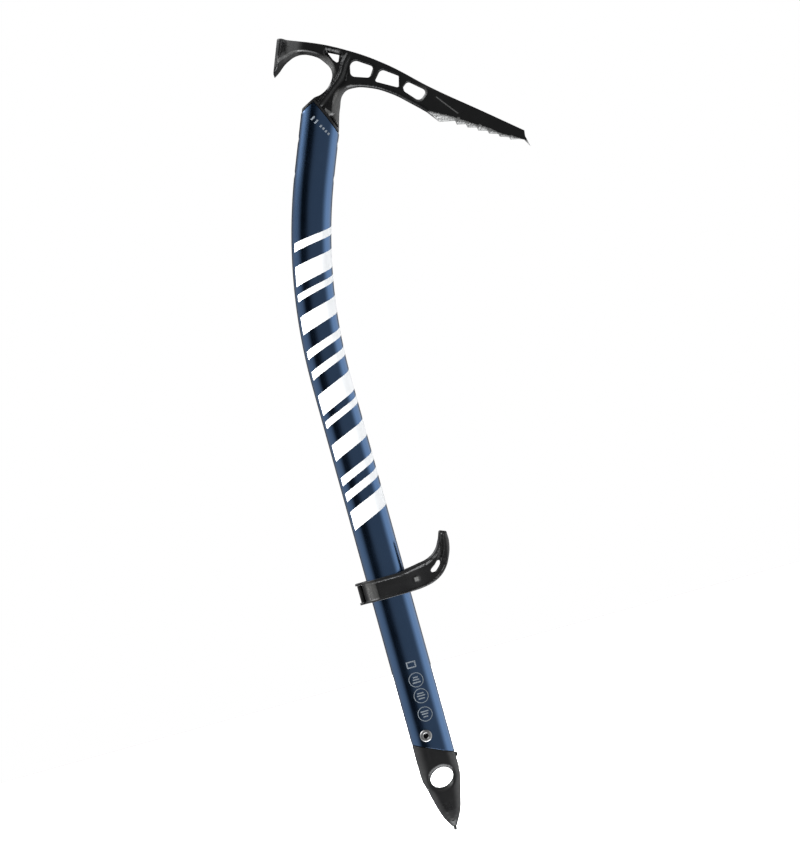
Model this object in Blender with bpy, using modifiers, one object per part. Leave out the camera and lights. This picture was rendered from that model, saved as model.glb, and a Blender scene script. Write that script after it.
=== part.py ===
"""Technical ice axe with a sliding hand rest.

Lengths are in millimetres and are turned into metres when a shape is made.  The shaft stands along +Z,
the pick points to +X, and Y = 0 is the plane of symmetry.  Heights in the outlines are measured from the
end of the ferrule; the spike's point stands POINT_LENGTH below it and is the origin.
"""
import math

import bmesh
import bpy
from mathutils import Matrix, Vector

MM = 0.001
POINT_LENGTH = 1.5          # the steel point below the ferrule's end
GAP = 0.3                   # clearance between pieces that touch on the real axe

# Shaft
TUBE_HALF_X = 14.8
TUBE_HALF_Y = 10.0
TUBE_CORNER = 7.8
TUBE_WALL = 1.6
BEND_START = 343.0
BEND_RADIUS = 410.0
BEND_ANGLE = math.radians(21.9)
TUBE_TOP_CUT = [(31.0, 540.0), (42.5, 545.5), (49.0, 531.5), (54.9, 516.5)]
TUBE_FOOT_CUT = [(-15.6, 68.4), (0.0, 61.5), (12.0, 56.0), (15.6, 54.8)]

# Head
RIM_THICKNESS = 1.5
SHANK_HALF_Y = 4.5
ADZE_HALF_Y = 25.0
SUNK = 0.6                  # how far joined blocks end under the shank's flat faces
BLADE_HALF_AT_STEP = 3.3
BLADE_HALF_AT_TIP = 1.7
TANG_BACK = 6.2
TANG_FRONT = 8.0
TANG_HALF_Y = 4.6
TANG_DEPTH = 22.0           # below the end of the bend
TOOTH_PITCH = 7.05
TOOTH_DROP = 4.26
TOOTH_COUNT = 6
HEAD_PIN_RADIUS = 2.5
HEAD_PIN_PLACES = [("head_pin_upper", 22.0), ("head_pin_lower", -4.0)]

# Ferrule
RIVET_X = -2.7
RIVET_Z = 72.3
RIVET_SHANK = 2.6
RIVET_HEAD = 4.5
RIVET_HEAD_HEIGHT = 0.8
RIVET_RECESS = 1.75
WASHER_THICKNESS = 0.6
PLUG_TOP = 100.0
TIP_RADIUS = 1.35
TIP_TOP = 11.5
TIP_PIN_RADIUS = 0.55
TIP_PIN_Z = 7.0

# Hand rest
REST_LOW = 177.6
REST_HIGH = 193.6
FLANGE = 1.5
LINER_THICKNESS = 1.0
COLLAR_THICKNESS = 2.5
LIP_REACH = 23.5
LEVER_PIN_X = -20.8
LEVER_PIN_Y = -4.0
LEVER_HALF = 1.6
LEVER_PIN_RADIUS = 0.8
SHOE_HALF_Y = 6.2
WINDOW_HALF_Y = 6.6
PANEL_DEPTH = 0.7           # the collar's side panels lie this far under its flanges
HOOK_ROOT_HALF_Y = 13.2
HOOK_HALF_Y = 9.5
HOOK_TIP_HALF_Y = 8.5

CORNER = "VECTOR"
SMOOTH = "AUTO"


# ------------------------------------------------------------------ scene and materials

def clear_scene():
    for obj in list(bpy.data.objects):
        bpy.data.objects.remove(obj, do_unlink=True)


def collection(name):
    made = bpy.data.collections.new(name)
    bpy.context.scene.collection.children.link(made)
    return made


clear_scene()
AXE = collection("ice_axe")
CUTTERS = collection("cutters")


def material(name, colour, roughness, metallic):
    mat = bpy.data.materials.new(name)
    mat.use_nodes = True
    shader = mat.node_tree.nodes["Principled BSDF"]
    shader.inputs["Base Color"].default_value = (*colour, 1.0)
    shader.inputs["Roughness"].default_value = roughness
    shader.inputs["Metallic"].default_value = metallic
    mat.diffuse_color = (*colour, 1.0)
    return mat


BLACK_STEEL = material("black_steel", (0.020, 0.020, 0.021), 0.35, 0.6)
BLUE_ALUMINIUM = material("blue_anodised", (0.030, 0.080, 0.190), 0.30, 0.9)
BRIGHT_STEEL = material("bright_steel", (0.60, 0.60, 0.58), 0.30, 1.0)
BLACK_NYLON = material("black_nylon", (0.025, 0.025, 0.026), 0.50, 0.0)
BLACK_RUBBER = material("black_rubber", (0.018, 0.018, 0.018), 0.80, 0.0)


# ------------------------------------------------------------------ geometry helpers

def high(z):
    """Height above the spike's point of a height above the ferrule's end."""
    return z + POINT_LENGTH


def side_frame():
    """Turns outline (x, z) into world X and Z; the outline's thickness runs along Y."""
    return Matrix.Translation((0, 0, POINT_LENGTH * MM)) @ Matrix.Rotation(math.pi / 2, 4, "X")


def plan_frame(z):
    """Turns outline (x, y) into world X and Y at height z."""
    return Matrix.Translation((0, 0, high(z) * MM))


def upper_frame():
    """Frame of the straight upper shaft: local X across it towards the pick, local Z up along it."""
    end_x = BEND_RADIUS * (1 - math.cos(BEND_ANGLE))
    end_z = high(BEND_START + BEND_RADIUS * math.sin(BEND_ANGLE))
    return Matrix.Translation((end_x * MM, 0, end_z * MM)) @ Matrix.Rotation(BEND_ANGLE, 4, "Y")


def in_collection(obj, mat):
    """A part goes in the axe's collection with its material; a cutter (no material) is hidden."""
    for owner in list(obj.users_collection):
        owner.objects.unlink(obj)
    if mat is None:
        CUTTERS.objects.link(obj)
        obj.hide_render = True
        obj.display_type = "WIRE"
    else:
        AXE.objects.link(obj)
        obj.data.materials.clear()
        obj.data.materials.append(mat)
    return obj


def mesh_object(name, bm, mat, matrix=None):
    bmesh.ops.recalc_face_normals(bm, faces=bm.faces)
    if matrix is not None:
        bm.transform(matrix)
    if bm.calc_volume(signed=True) < 0:
        bmesh.ops.reverse_faces(bm, faces=bm.faces)
    mesh = bpy.data.meshes.new(name)
    bm.to_mesh(mesh)
    bm.free()
    mesh.shade_smooth()
    mesh.set_sharp_from_angle(angle=math.radians(30))
    obj = bpy.data.objects.new(name, mesh)
    return in_collection(obj, mat)


def curve_to_mesh(curve_obj, name, mat, matrix):
    """Makes a closed mesh of a filled or bevelled curve and removes the curve."""
    bpy.context.scene.collection.objects.link(curve_obj)
    depsgraph = bpy.context.evaluated_depsgraph_get()
    mesh = bpy.data.meshes.new_from_object(curve_obj.evaluated_get(depsgraph))
    bm = bmesh.new()
    bm.from_mesh(mesh)
    bmesh.ops.remove_doubles(bm, verts=bm.verts, dist=1e-6)
    bpy.data.meshes.remove(mesh)
    bpy.data.objects.remove(curve_obj, do_unlink=True)
    return mesh_object(name, bm, mat, matrix)


def arc_knots(before, corner, after, radius):
    """The two knots of a round corner, as (place, left kind, left handle, right kind, right handle)."""
    to_before = (before - corner).normalized()
    to_after = (after - corner).normalized()
    half_turn = (math.pi - to_before.angle(to_after)) / 2
    run = radius * math.tan(half_turn)
    reach = radius * 4 / 3 * math.tan(half_turn / 2)
    first = corner + to_before * run
    second = corner + to_after * run
    return [(first, CORNER, first, "FREE", first - to_before * reach),
            (second, "FREE", second - to_after * reach, CORNER, second)]


def add_loop(curve, points):
    """A closed outline: (x, y) is a corner, (x, y, SMOOTH) a point of a curve, (x, y, radius) a round corner."""
    places = [Vector((p[0] * MM, p[1] * MM, 0)) for p in points]
    knots = []
    for k, point in enumerate(points):
        kind = point[2] if len(point) > 2 else CORNER
        if isinstance(kind, str):
            knots.append((places[k], kind, places[k], kind, places[k]))
        else:
            after = places[(k + 1) % len(places)]
            knots += arc_knots(places[k - 1], places[k], after, kind * MM)
    spline = curve.splines.new("BEZIER")
    spline.bezier_points.add(len(knots) - 1)
    spline.use_cyclic_u = True
    for knot, (place, left_kind, left, right_kind, right) in zip(spline.bezier_points, knots):
        knot.co = place
        knot.handle_left_type = left_kind
        knot.handle_right_type = right_kind
        if left_kind == "FREE":
            knot.handle_left = left
        if right_kind == "FREE":
            knot.handle_right = right


def plate(name, loops, half, mat, matrix, resolution=5):
    """A flat outline, with holes, given a thickness of twice half."""
    curve = bpy.data.curves.new(name, "CURVE")
    curve.dimensions = "2D"
    curve.fill_mode = "BOTH"
    curve.extrude = half * MM
    curve.resolution_u = resolution
    for points in loops:
        add_loop(curve, points)
    return curve_to_mesh(bpy.data.objects.new(name, curve), name, mat, matrix)


def boolean(obj, other, operation):
    mod = obj.modifiers.new(other.name, "BOOLEAN")
    mod.object = other
    mod.operation = operation
    mod.solver = "EXACT"


def box(name, low, top, mat, matrix=None):
    """A block from its lowest to its highest corner."""
    bm = bmesh.new()
    bmesh.ops.create_cube(bm, size=1.0)
    size = [(b - a) * MM for a, b in zip(low, top)]
    middle = [(a + b) / 2 * MM for a, b in zip(low, top)]
    bm.transform(Matrix.Translation(middle) @ Matrix.Diagonal((*size, 1.0)))
    return mesh_object(name, bm, mat, matrix)


def rod(name, radius, length, mat, matrix, sides=24, end_radius=None):
    """A round bar along local Z, centred; end_radius makes it a cone frustum."""
    bm = bmesh.new()
    bmesh.ops.create_cone(bm, cap_ends=True, segments=sides, radius1=radius * MM,
                          radius2=(radius if end_radius is None else end_radius) * MM, depth=length * MM)
    return mesh_object(name, bm, mat, matrix)


def turned(name, profile, mat, matrix, closed=True, steps=32):
    """A turned piece: its (radius, height) profile, top to bottom, is swept round local Z."""
    bm = bmesh.new()
    line = [bm.verts.new((r * MM, 0, z * MM)) for r, z in profile]
    for a, b in zip(line, line[1:] + (line[:1] if closed else [])):
        bm.edges.new((a, b))
    mesh = bpy.data.meshes.new(name)
    bm.to_mesh(mesh)
    bm.free()
    obj = in_collection(bpy.data.objects.new(name, mesh), mat)
    obj.matrix_world = matrix
    screw = obj.modifiers.new("turn", "SCREW")
    screw.steps = steps
    screw.render_steps = steps
    screw.use_merge_vertices = True
    screw.merge_threshold = 1e-6
    return obj


def rounded_rectangle(half_x, half_y, corner, per_corner=8):
    """Points of a rectangle with round corners, counter-clockwise."""
    corner = min(corner, half_x - 0.01, half_y - 0.01)
    points = []
    for quarter in range(4):
        sign_x = (1, -1, -1, 1)[quarter]
        sign_y = (1, 1, -1, -1)[quarter]
        for step in range(per_corner):
            angle = (quarter + step / (per_corner - 1)) * math.pi / 2
            x = sign_x * (half_x - corner) + corner * math.cos(angle)
            y = sign_y * (half_y - corner) + corner * math.sin(angle)
            points.append((x, y))
    return points


def loft(name, sections, mat):
    """Skin through unlike rounded-rectangle sections: (height, half x, half y, corner, centre x)."""
    bm = bmesh.new()
    rings = []
    for height, half_x, half_y, corner, centre in sections:
        ring = [bm.verts.new(((centre + x) * MM, y * MM, high(height) * MM))
                for x, y in rounded_rectangle(half_x, half_y, corner)]
        rings.append(ring)
    for below, above in zip(rings, rings[1:]):
        for k in range(len(below)):
            n = (k + 1) % len(below)
            bm.faces.new((below[k], below[n], above[n], above[k]))
    bm.faces.new(rings[0])
    bm.faces.new(rings[-1])
    return mesh_object(name, bm, mat)


def shaft_bar(name, grow, low, beyond, mat, arc_steps=14):
    """Solid bar along the shaft's line: the tube's section grown by grow, from height low to beyond the bend."""
    section = bpy.data.curves.new(name + "_section", "CURVE")
    section.dimensions = "2D"
    ring = section.splines.new("POLY")
    points = rounded_rectangle(TUBE_HALF_X + grow, TUBE_HALF_Y + grow, TUBE_CORNER + grow)
    ring.points.add(len(points) - 1)
    for knot, (x, y) in zip(ring.points, points):
        knot.co = (x * MM, y * MM, 0, 1)
    ring.use_cyclic_u = True
    section_obj = bpy.data.objects.new(name + "_section", section)
    bpy.context.scene.collection.objects.link(section_obj)

    route = [(0.0, low)]
    for step in range(arc_steps + 1):
        angle = BEND_ANGLE * step / arc_steps
        route.append((BEND_RADIUS * (1 - math.cos(angle)), BEND_START + BEND_RADIUS * math.sin(angle)))
    end_x, end_z = route[-1]
    route.append((end_x + beyond * math.sin(BEND_ANGLE), end_z + beyond * math.cos(BEND_ANGLE)))

    line = bpy.data.curves.new(name, "CURVE")
    line.dimensions = "2D"
    line.fill_mode = "NONE"
    line.bevel_mode = "OBJECT"
    line.bevel_object = section_obj
    line.use_fill_caps = True
    path = line.splines.new("POLY")
    path.points.add(len(route) - 1)
    for knot, (x, z) in zip(path.points, route):
        knot.co = (x * MM, z * MM, 0, 1)
    obj = curve_to_mesh(bpy.data.objects.new(name, line), name, mat, side_frame())
    bpy.data.objects.remove(section_obj, do_unlink=True)
    return obj


def offset_line(points, distance):
    """The polyline moved sideways to its left by distance, mitred at its corners."""
    moved = []
    for k, (x, z) in enumerate(points):
        before = points[max(k - 1, 0)]
        after = points[min(k + 1, len(points) - 1)]
        normals = []
        for a, b in ((before, (x, z)), ((x, z), after)):
            run = math.hypot(b[0] - a[0], b[1] - a[1])
            if run > 0:
                normals.append(Vector((-(b[1] - a[1]) / run, (b[0] - a[0]) / run)))
        middle = sum(normals, Vector((0, 0))).normalized()
        reach = distance / max(middle.dot(normals[0]), 0.3)
        moved.append((x + middle.x * reach, z + middle.y * reach))
    return moved


# ------------------------------------------------------------------ shaft

def top_cutter(name, offset):
    """Prism over the oblique cut at the head end, moved off the cut line by offset."""
    line = offset_line(TUBE_TOP_CUT, offset)
    first_x, first_z = line[0]
    last_x, last_z = line[-1]
    outline = [(first_x - 30, first_z - 14.3), *line, (last_x + 12, last_z - 32), (110, 500), (110, 640), (0, 640)]
    return plate(name, [outline], 30, None, side_frame())


def foot_cutter(name, offset):
    """Prism under the oblique cut at the ferrule end, moved off the cut line by offset."""
    line = offset_line(TUBE_FOOT_CUT, offset)
    outline = [(-40, line[0][1] + 11), *line, (40, line[-1][1] - 8), (40, -20), (-40, -20)]
    return plate(name, [outline], 30, None, side_frame())


def make_shaft():
    tube = shaft_bar("shaft_tube", 0, 40, 70, BLUE_ALUMINIUM)
    boolean(tube, shaft_bar("tube_bore", -TUBE_WALL, 20, 90, None), "DIFFERENCE")
    boolean(tube, top_cutter("tube_top_cut", 0), "DIFFERENCE")
    boolean(tube, foot_cutter("tube_foot_cut", 0), "DIFFERENCE")
    for name, along in HEAD_PIN_PLACES:
        boolean(tube, head_pin_rod(name + "_tube_hole", along, GAP, 60, None), "DIFFERENCE")
    boolean(tube, rivet_rod("rivet_tube_hole", RIVET_SHANK + GAP, 60), "DIFFERENCE")
    return tube


# ------------------------------------------------------------------ head

def head_pin_rod(name, along, grow, length, mat):
    """A pin across the upper shaft in its plane of symmetry, along the frame's local X."""
    place = upper_frame() @ Matrix.Translation((0, 0, along * MM)) @ Matrix.Rotation(math.pi / 2, 4, "Y")
    return rod(name, HEAD_PIN_RADIUS + grow, length, mat, place)


def tang_box(name, grow, depth):
    """The tang, which leaves the tube to the right of the peak of its oblique end."""
    low = (-TANG_BACK - grow, -TANG_HALF_Y - grow, -depth)
    return box(name, low, (TANG_FRONT + grow, TANG_HALF_Y + grow, 80), None, upper_frame())


def tooth_points():
    """Saw teeth from the point back to the shaft: shallow floor, then a steep face."""
    points = []
    for k in reversed(range(TOOTH_COUNT)):
        x = 140.0 + TOOTH_PITCH * k
        tip = 501.4 - TOOTH_DROP * k
        depth = 3.1 - 0.24 * k
        points.append((x + 0.3, tip))
        points.append((x - 0.2, tip + depth))
    return points


def head_outline():
    top_edge = [(29.0, 596.2), (50.0, 589.3, SMOOTH), (75.0, 576.7, SMOOTH), (100.0, 559.4, SMOOTH),
                (130.0, 531.7, SMOOTH), (160.0, 506.7, SMOOTH)]
    beak = [(187.2, 483.8), (186.6, 479.5), (188.4, 471.6), (185.2, 477.4), (181.6, 478.9)]
    first_tooth = [(128.3, 506.8), (121.2, 516.2)]
    underside = [(113.0, 524.2, SMOOTH), (100.0, 536.0, SMOOTH), (85.0, 544.9, SMOOTH), (73.0, 547.8, SMOOTH),
                 (65.6, 546.0, SMOOTH), (60.1, 536.0, SMOOTH), (56.2, 525.0)]
    shoulder = offset_line(TUBE_TOP_CUT, RIM_THICKNESS + 3 * GAP)[1:3]
    arch = [(50.0, 549.6, SMOOTH), (57.5, 555.1, SMOOTH), (61.4, 563.2, SMOOTH), (58.4, 571.6, SMOOTH),
            (50.0, 579.2, SMOOTH), (40.0, 581.8, SMOOTH), (31.0, 579.3, SMOOTH), (19.4, 572.0)]
    return top_edge + beak + tooth_points() + first_tooth + underside + [shoulder[1], shoulder[0]] + arch


def head_holes():
    window = [(60.0, 582.2), (71.6, 576.6, 0.6), (67.6, 567.6, 1.3), (62.0, 577.6, 3.0)]
    first = [(73.9, 556.4, 3.5), (76.8, 570.0, 4.5), (92.4, 559.3, 2.6), (87.2, 551.7, 2.6)]
    second = [(90.0, 548.2, 1.6), (96.9, 556.2, 3.5), (108.4, 547.7, 1.0), (106.0, 538.9, 1.2)]
    third = [(109.2, 535.2, 2.5), (109.2, 538.7, 2.0), (113.5, 542.0, 2.8), (125.7, 531.4, 3.0), (118.2, 525.0, 3.6)]
    return [window, first, second, third]


def adze_block():
    """Wide adze blade: its side outline, narrowed in plan from the blade to the shank."""
    side = [(29.0, 596.2), (47.0, 590.5), (48.0, 580.2), (40.0, 581.8, SMOOTH), (31.0, 579.3, SMOOTH),
            (19.4, 572.0)]
    block = plate("adze_block", [side], ADZE_HALF_Y, None, side_frame())
    half = ADZE_HALF_Y
    slim = SHANK_HALF_Y - SUNK
    plan = [(-45, half - 1.5), (-37.0, half - 1.5), (-35.5, half), (-32.4, half), (-20.5, slim), (0, slim)]
    plan = plan + [(x, -y) for x, y in reversed(plan)]
    middle = upper_frame() @ Matrix.Translation((0, 0, 90 * MM))
    boolean(block, plate("adze_plan", [plan], 60, None, middle), "INTERSECT")
    return block


def neck_block():
    """Neck that grows from the shank's thickness to the tube's section."""
    shoulder = offset_line(TUBE_TOP_CUT, RIM_THICKNESS + 2 * GAP)[1:3]
    side = [(55.4, 521.2), shoulder[1], shoulder[0], (50.8, 548.7), (58.5, 553.6), (66.0, 559.0), (69.5, 552.0),
            (65.0, 545.0), (60.3, 536.2)]
    block = plate("neck_block", [side], TUBE_HALF_Y - 0.2, None, side_frame())
    wide = TUBE_HALF_Y - 0.2
    slim = SHANK_HALF_Y - SUNK
    face = [(-wide, 500), (wide, 500), (wide, 530), (slim, 558), (slim, 570), (-slim, 570), (-slim, 558),
            (-wide, 530)]
    turn = Matrix.Translation((50 * MM, 0, 0)) @ Matrix.Rotation(math.pi / 2, 4, "Z") @ side_frame()
    boolean(block, plate("neck_face", [face], 60, None, turn), "INTERSECT")
    boolean(block, shaft_bar("neck_envelope", 0, 60, 120, None), "INTERSECT")
    return block


def blade_cutters():
    """Two wedges that thin the pick beyond its slanting step line."""
    step = math.atan2(14.1, 10.8) - math.pi / 2
    place = (Matrix.Translation((137.0 * MM, 0, high(516.7) * MM)) @ Matrix.Rotation(-step, 4, "Y"))
    cutters = []
    for side in (1, -1):
        outline = [(0, side * 12), (0, side * BLADE_HALF_AT_STEP), (62, side * BLADE_HALF_AT_TIP),
                   (90, side * BLADE_HALF_AT_TIP), (90, side * 12)]
        cutters.append(plate("blade_cut_%d" % (side > 0), [outline], 80, None, place))
    return cutters


def make_head():
    head = plate("head_forging", [head_outline(), *head_holes()], SHANK_HALF_Y, BLACK_STEEL, side_frame())
    for cutter in blade_cutters():
        boolean(head, cutter, "DIFFERENCE")
    boolean(head, adze_block(), "UNION")
    boolean(head, neck_block(), "UNION")
    tang = tang_box("tang", 0, TANG_DEPTH)
    boolean(tang, top_cutter("tang_top", RIM_THICKNESS + 2 * GAP + 1.0), "DIFFERENCE")
    boolean(head, tang, "UNION")
    for name, along in HEAD_PIN_PLACES:
        boolean(head, head_pin_rod(name + "_tang_hole", along, GAP, 60, None), "DIFFERENCE")
        head_pin_rod(name, along, 0, 2 * TUBE_HALF_X - 0.6, BRIGHT_STEEL)
    return head


def make_tang_shims():
    """Two half shells that fill the tube round the tang and carry a rim over the tube's end."""
    for side, name in ((-1, "tang_shim_near"), (1, "tang_shim_far")):
        shim = shaft_bar(name, -TUBE_WALL - GAP, 60, 70, BLACK_NYLON)
        boolean(shim, top_cutter(name + "_top", RIM_THICKNESS + GAP), "DIFFERENCE")
        rim = shaft_bar(name + "_rim", -0.4, 60, 70, None)
        boolean(rim, top_cutter(name + "_rim_top", RIM_THICKNESS + GAP), "DIFFERENCE")
        boolean(rim, top_cutter(name + "_rim_foot", GAP), "INTERSECT")
        boolean(shim, rim, "UNION")
        low = (-30, GAP / 2 if side > 0 else -30, -TANG_DEPTH - 4)
        top = (30, 30 if side > 0 else -GAP / 2, 80)
        boolean(shim, box(name + "_half", low, top, None, upper_frame()), "INTERSECT")
        boolean(shim, tang_box(name + "_tang_room", GAP, TANG_DEPTH), "DIFFERENCE")
        for pin, along in HEAD_PIN_PLACES:
            boolean(shim, head_pin_rod(name + pin, along, GAP, 60, None), "DIFFERENCE")


# ------------------------------------------------------------------ ferrule

def across(x, z):
    """Frame whose local Z runs along world +Y at (x, z)."""
    return Matrix.Translation((x * MM, 0, high(z) * MM)) @ Matrix.Rotation(-math.pi / 2, 4, "X")


def rivet_rod(name, radius, length):
    return rod(name, radius, length, None, across(RIVET_X, RIVET_Z))


def make_ferrule():
    body = [(1.8, 1.9, 1.9, 1.7, -0.2), (5.0, 3.7, 3.4, 2.4, -0.2), (8.0, 5.5, 4.6, 2.8, -0.2),
            (14.0, 8.0, 6.4, 3.4, 0.0), (22.0, 10.2, 8.0, 4.4, 0.0), (32.0, 12.6, 9.2, 5.8, 0.1),
            (40.0, 14.5, 9.8, 7.2, 0.0), (46.0, TUBE_HALF_X, TUBE_HALF_Y, TUBE_CORNER, 0.0),
            (80.0, TUBE_HALF_X, TUBE_HALF_Y, TUBE_CORNER, 0.0)]
    ferrule = loft("ferrule", body, BLACK_NYLON)
    line = offset_line(TUBE_FOOT_CUT, -GAP)
    above = [(-40, line[0][1] + 11), *line, (40, line[-1][1] - 8), (40, 120), (-40, 120)]
    boolean(ferrule, plate("ferrule_top_cut", [above], 30, None, side_frame()), "DIFFERENCE")
    inset = TUBE_WALL + GAP
    plug = loft("ferrule_plug", [(50.0, TUBE_HALF_X - inset, TUBE_HALF_Y - inset, TUBE_CORNER - inset, 0),
                                 (PLUG_TOP, TUBE_HALF_X - inset, TUBE_HALF_Y - inset, TUBE_CORNER - inset, 0)], None)
    boolean(ferrule, plug, "UNION")
    nub = [(13.0, 51.2), (15.4, 51.2, SMOOTH), (16.4, 53.4, SMOOTH), (15.6, 54.4), (13.0, 55.0)]
    boolean(ferrule, plate("ferrule_nub", [nub], 3.0, None, side_frame()), "UNION")
    eye = Matrix.Translation((0.3 * MM, 0, high(39.0) * MM)) @ Matrix.Rotation(math.radians(-24), 4, "Y")
    eye = eye @ Matrix.Diagonal((8.9, 1.0, 7.2, 1.0)) @ Matrix.Rotation(math.pi / 2, 4, "X")
    boolean(ferrule, rod("eye_bore", 1.0, 60, None, eye, 40), "DIFFERENCE")
    for side in (1, -1):
        flare = eye @ Matrix.Translation((0, 0, side * 9.2 * MM)) @ Matrix.Rotation(math.pi * (side < 0), 4, "X")
        boolean(ferrule, rod("eye_flare_%d" % (side > 0), 1.0, 2.4, None, flare, 40, 1.32), "DIFFERENCE")
    boolean(ferrule, rivet_rod("rivet_plug_hole", RIVET_SHANK + GAP, 60), "DIFFERENCE")
    socket = Matrix.Translation((0, 0, high(4.0) * MM))
    boolean(ferrule, rod("tip_socket", TIP_RADIUS + GAP, 16, None, socket), "DIFFERENCE")
    pin_hole = rod("tip_pin_hole", TIP_PIN_RADIUS + GAP, 30, None, across(0, TIP_PIN_Z), 16)
    boolean(ferrule, pin_hole, "DIFFERENCE")
    return ferrule


def make_spike_tip():
    profile = [(0.0, high(TIP_TOP)), (TIP_RADIUS, high(TIP_TOP)), (TIP_RADIUS, 1.1), (0.45, 0.15), (0.0, 0.0)]
    tip = turned("spike_tip", profile, BRIGHT_STEEL, Matrix.Identity(4), closed=False, steps=24)
    boolean(tip, rod("tip_cross_hole", TIP_PIN_RADIUS + 0.1, 30, None, across(0, TIP_PIN_Z), 16), "DIFFERENCE")
    rod("spike_tip_pin", TIP_PIN_RADIUS, 7.6, BRIGHT_STEEL, across(0, TIP_PIN_Z), 16)
    return tip


def make_rivet():
    """Solid rivet with a round recess in its near head and a washer under its far one."""
    near = TUBE_HALF_Y + GAP
    washer_top = near + WASHER_THICKNESS
    far = washer_top + GAP
    crown = RIVET_HEAD - 0.9
    profile = [(0.0, far + RIVET_HEAD_HEIGHT), (crown, far + RIVET_HEAD_HEIGHT), (RIVET_HEAD, far + 0.2),
               (RIVET_HEAD, far), (RIVET_SHANK, far), (RIVET_SHANK, -near), (RIVET_HEAD, -near),
               (RIVET_HEAD, -near - 0.2), (crown, -near - RIVET_HEAD_HEIGHT),
               (RIVET_RECESS, -near - RIVET_HEAD_HEIGHT), (RIVET_RECESS, -near + 4.0), (0.0, -near + 4.0)]
    turned("ferrule_rivet", profile, BRIGHT_STEEL, across(RIVET_X, RIVET_Z), closed=False)
    hole = RIVET_SHANK + GAP
    washer = [(hole, washer_top), (RIVET_HEAD + 0.5, washer_top), (RIVET_HEAD + 0.5, near), (hole, near)]
    turned("ferrule_rivet_washer", washer, BRIGHT_STEEL, across(RIVET_X, RIVET_Z))


# ------------------------------------------------------------------ hand rest

def collar_outline(grow):
    """The tube's section grown all round, as an outline with round corners."""
    half_x = TUBE_HALF_X + grow
    half_y = TUBE_HALF_Y + grow
    corner = TUBE_CORNER + grow
    return [(half_x, half_y, corner), (-half_x, half_y, corner), (-half_x, -half_y, corner),
            (half_x, -half_y, corner)]


def band(name, loops, low, top, mat):
    return plate(name, loops, (top - low) / 2, mat, plan_frame((low + top) / 2))


def hook_outline():
    inner = [(12.0, 194.0), (25.0, 196.0, SMOOTH), (33.5, 197.9, SMOOTH), (39.6, 201.9, SMOOTH),
             (44.2, 209.0, SMOOTH)]
    tip = [(46.8, 215.6, 1.2), (52.3, 213.6, 1.2)]
    outer = [(52.1, 205.5, SMOOTH), (48.9, 195.0, SMOOTH), (43.4, 186.3, SMOOTH), (36.0, 181.0, SMOOTH),
             (26.0, 178.3, SMOOTH), (12.0, 177.75)]
    return inner + tip + outer


def make_hand_rest():
    grow = GAP + LINER_THICKNESS + GAP
    panel = collar_outline(grow + COLLAR_THICKNESS - PANEL_DEPTH)
    body = band("hand_rest_body", [panel], REST_LOW + GAP, REST_HIGH - GAP, BLACK_NYLON)
    rim = collar_outline(grow + COLLAR_THICKNESS)
    for name, low in (("flange_low", REST_LOW), ("flange_high", REST_HIGH - FLANGE)):
        boolean(body, band(name, [rim], low, low + FLANGE, None), "UNION")
        lips = [(-10, -9), (-LIP_REACH + 2, -7.5, SMOOTH), (-LIP_REACH, -5.5, SMOOTH), (-LIP_REACH, 5.5, SMOOTH),
                (-LIP_REACH + 2, 7.5, SMOOTH), (-10, 9)]
        boolean(body, band(name + "_lip", [lips], low + 0.02, low + FLANGE - 0.02, None), "UNION")
    slot = [(33.4, 187.6, SMOOTH), (35.6, 186.8, SMOOTH), (38.6, 188.6, SMOOTH), (41.6, 193.6, SMOOTH),
            (41.0, 194.6, SMOOTH), (37.4, 192.2, SMOOTH)]
    hook = plate("hook", [hook_outline(), slot], HOOK_ROOT_HALF_Y + 2, None, side_frame())
    plan = [(0, HOOK_ROOT_HALF_Y), (10, HOOK_ROOT_HALF_Y), (36, HOOK_HALF_Y), (60, HOOK_TIP_HALF_Y)]
    plan = plan + [(x, -y) for x, y in reversed(plan)]
    boolean(hook, plate("hook_plan", [plan], 60, None, plan_frame(REST_HIGH)), "INTERSECT")
    boolean(body, hook, "UNION")
    notch = [(43.9, 193.2), (45.0, 193.8), (46.0, 197.4), (45.0, 197.2)]
    boolean(body, plate("hook_notch", [notch], 20, None, side_frame()), "DIFFERENCE")
    room = collar_outline(grow)
    boolean(body, band("collar_bore", [room], REST_LOW - 30, REST_HIGH + 30, None), "DIFFERENCE")
    window_low = REST_LOW + FLANGE + 1.4
    window_high = REST_HIGH - FLANGE - 1.4
    boolean(body, box("shoe_window", (-30, -WINDOW_HALF_Y, high(window_low)), (-10, WINDOW_HALF_Y, high(window_high)),
                      None), "DIFFERENCE")
    pin_hole = Matrix.Translation((LEVER_PIN_X * MM, LEVER_PIN_Y * MM, high(REST_LOW) * MM))
    boolean(body, rod("lever_pin_hole", LEVER_PIN_RADIUS + 0.15, 60, None, pin_hole), "DIFFERENCE")

    liner_outer = collar_outline(GAP + LINER_THICKNESS)
    liner_inner = collar_outline(GAP)
    liner = band("hand_rest_liner", [liner_outer, liner_inner], REST_LOW + 0.4, REST_HIGH - 0.4, BLACK_RUBBER)
    boolean(liner, box("liner_window", (-40, -WINDOW_HALF_Y, 0), (0, WINDOW_HALF_Y, 400), None), "DIFFERENCE")

    shoe_back = -TUBE_HALF_X - grow - COLLAR_THICKNESS + 0.8
    shoe_low = high(window_low + GAP)
    shoe_high = high(window_high - GAP)
    pad_front = -TUBE_HALF_X - GAP
    pad_back = pad_front - 1.1
    box("brake_shoe", (shoe_back, -SHOE_HALF_Y, shoe_low), (pad_back - GAP, SHOE_HALF_Y, shoe_high), BRIGHT_STEEL)
    box("brake_pad", (pad_back, -SHOE_HALF_Y, shoe_low), (pad_front, SHOE_HALF_Y, shoe_high), BLACK_RUBBER)
    make_lever(shoe_back)


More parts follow.
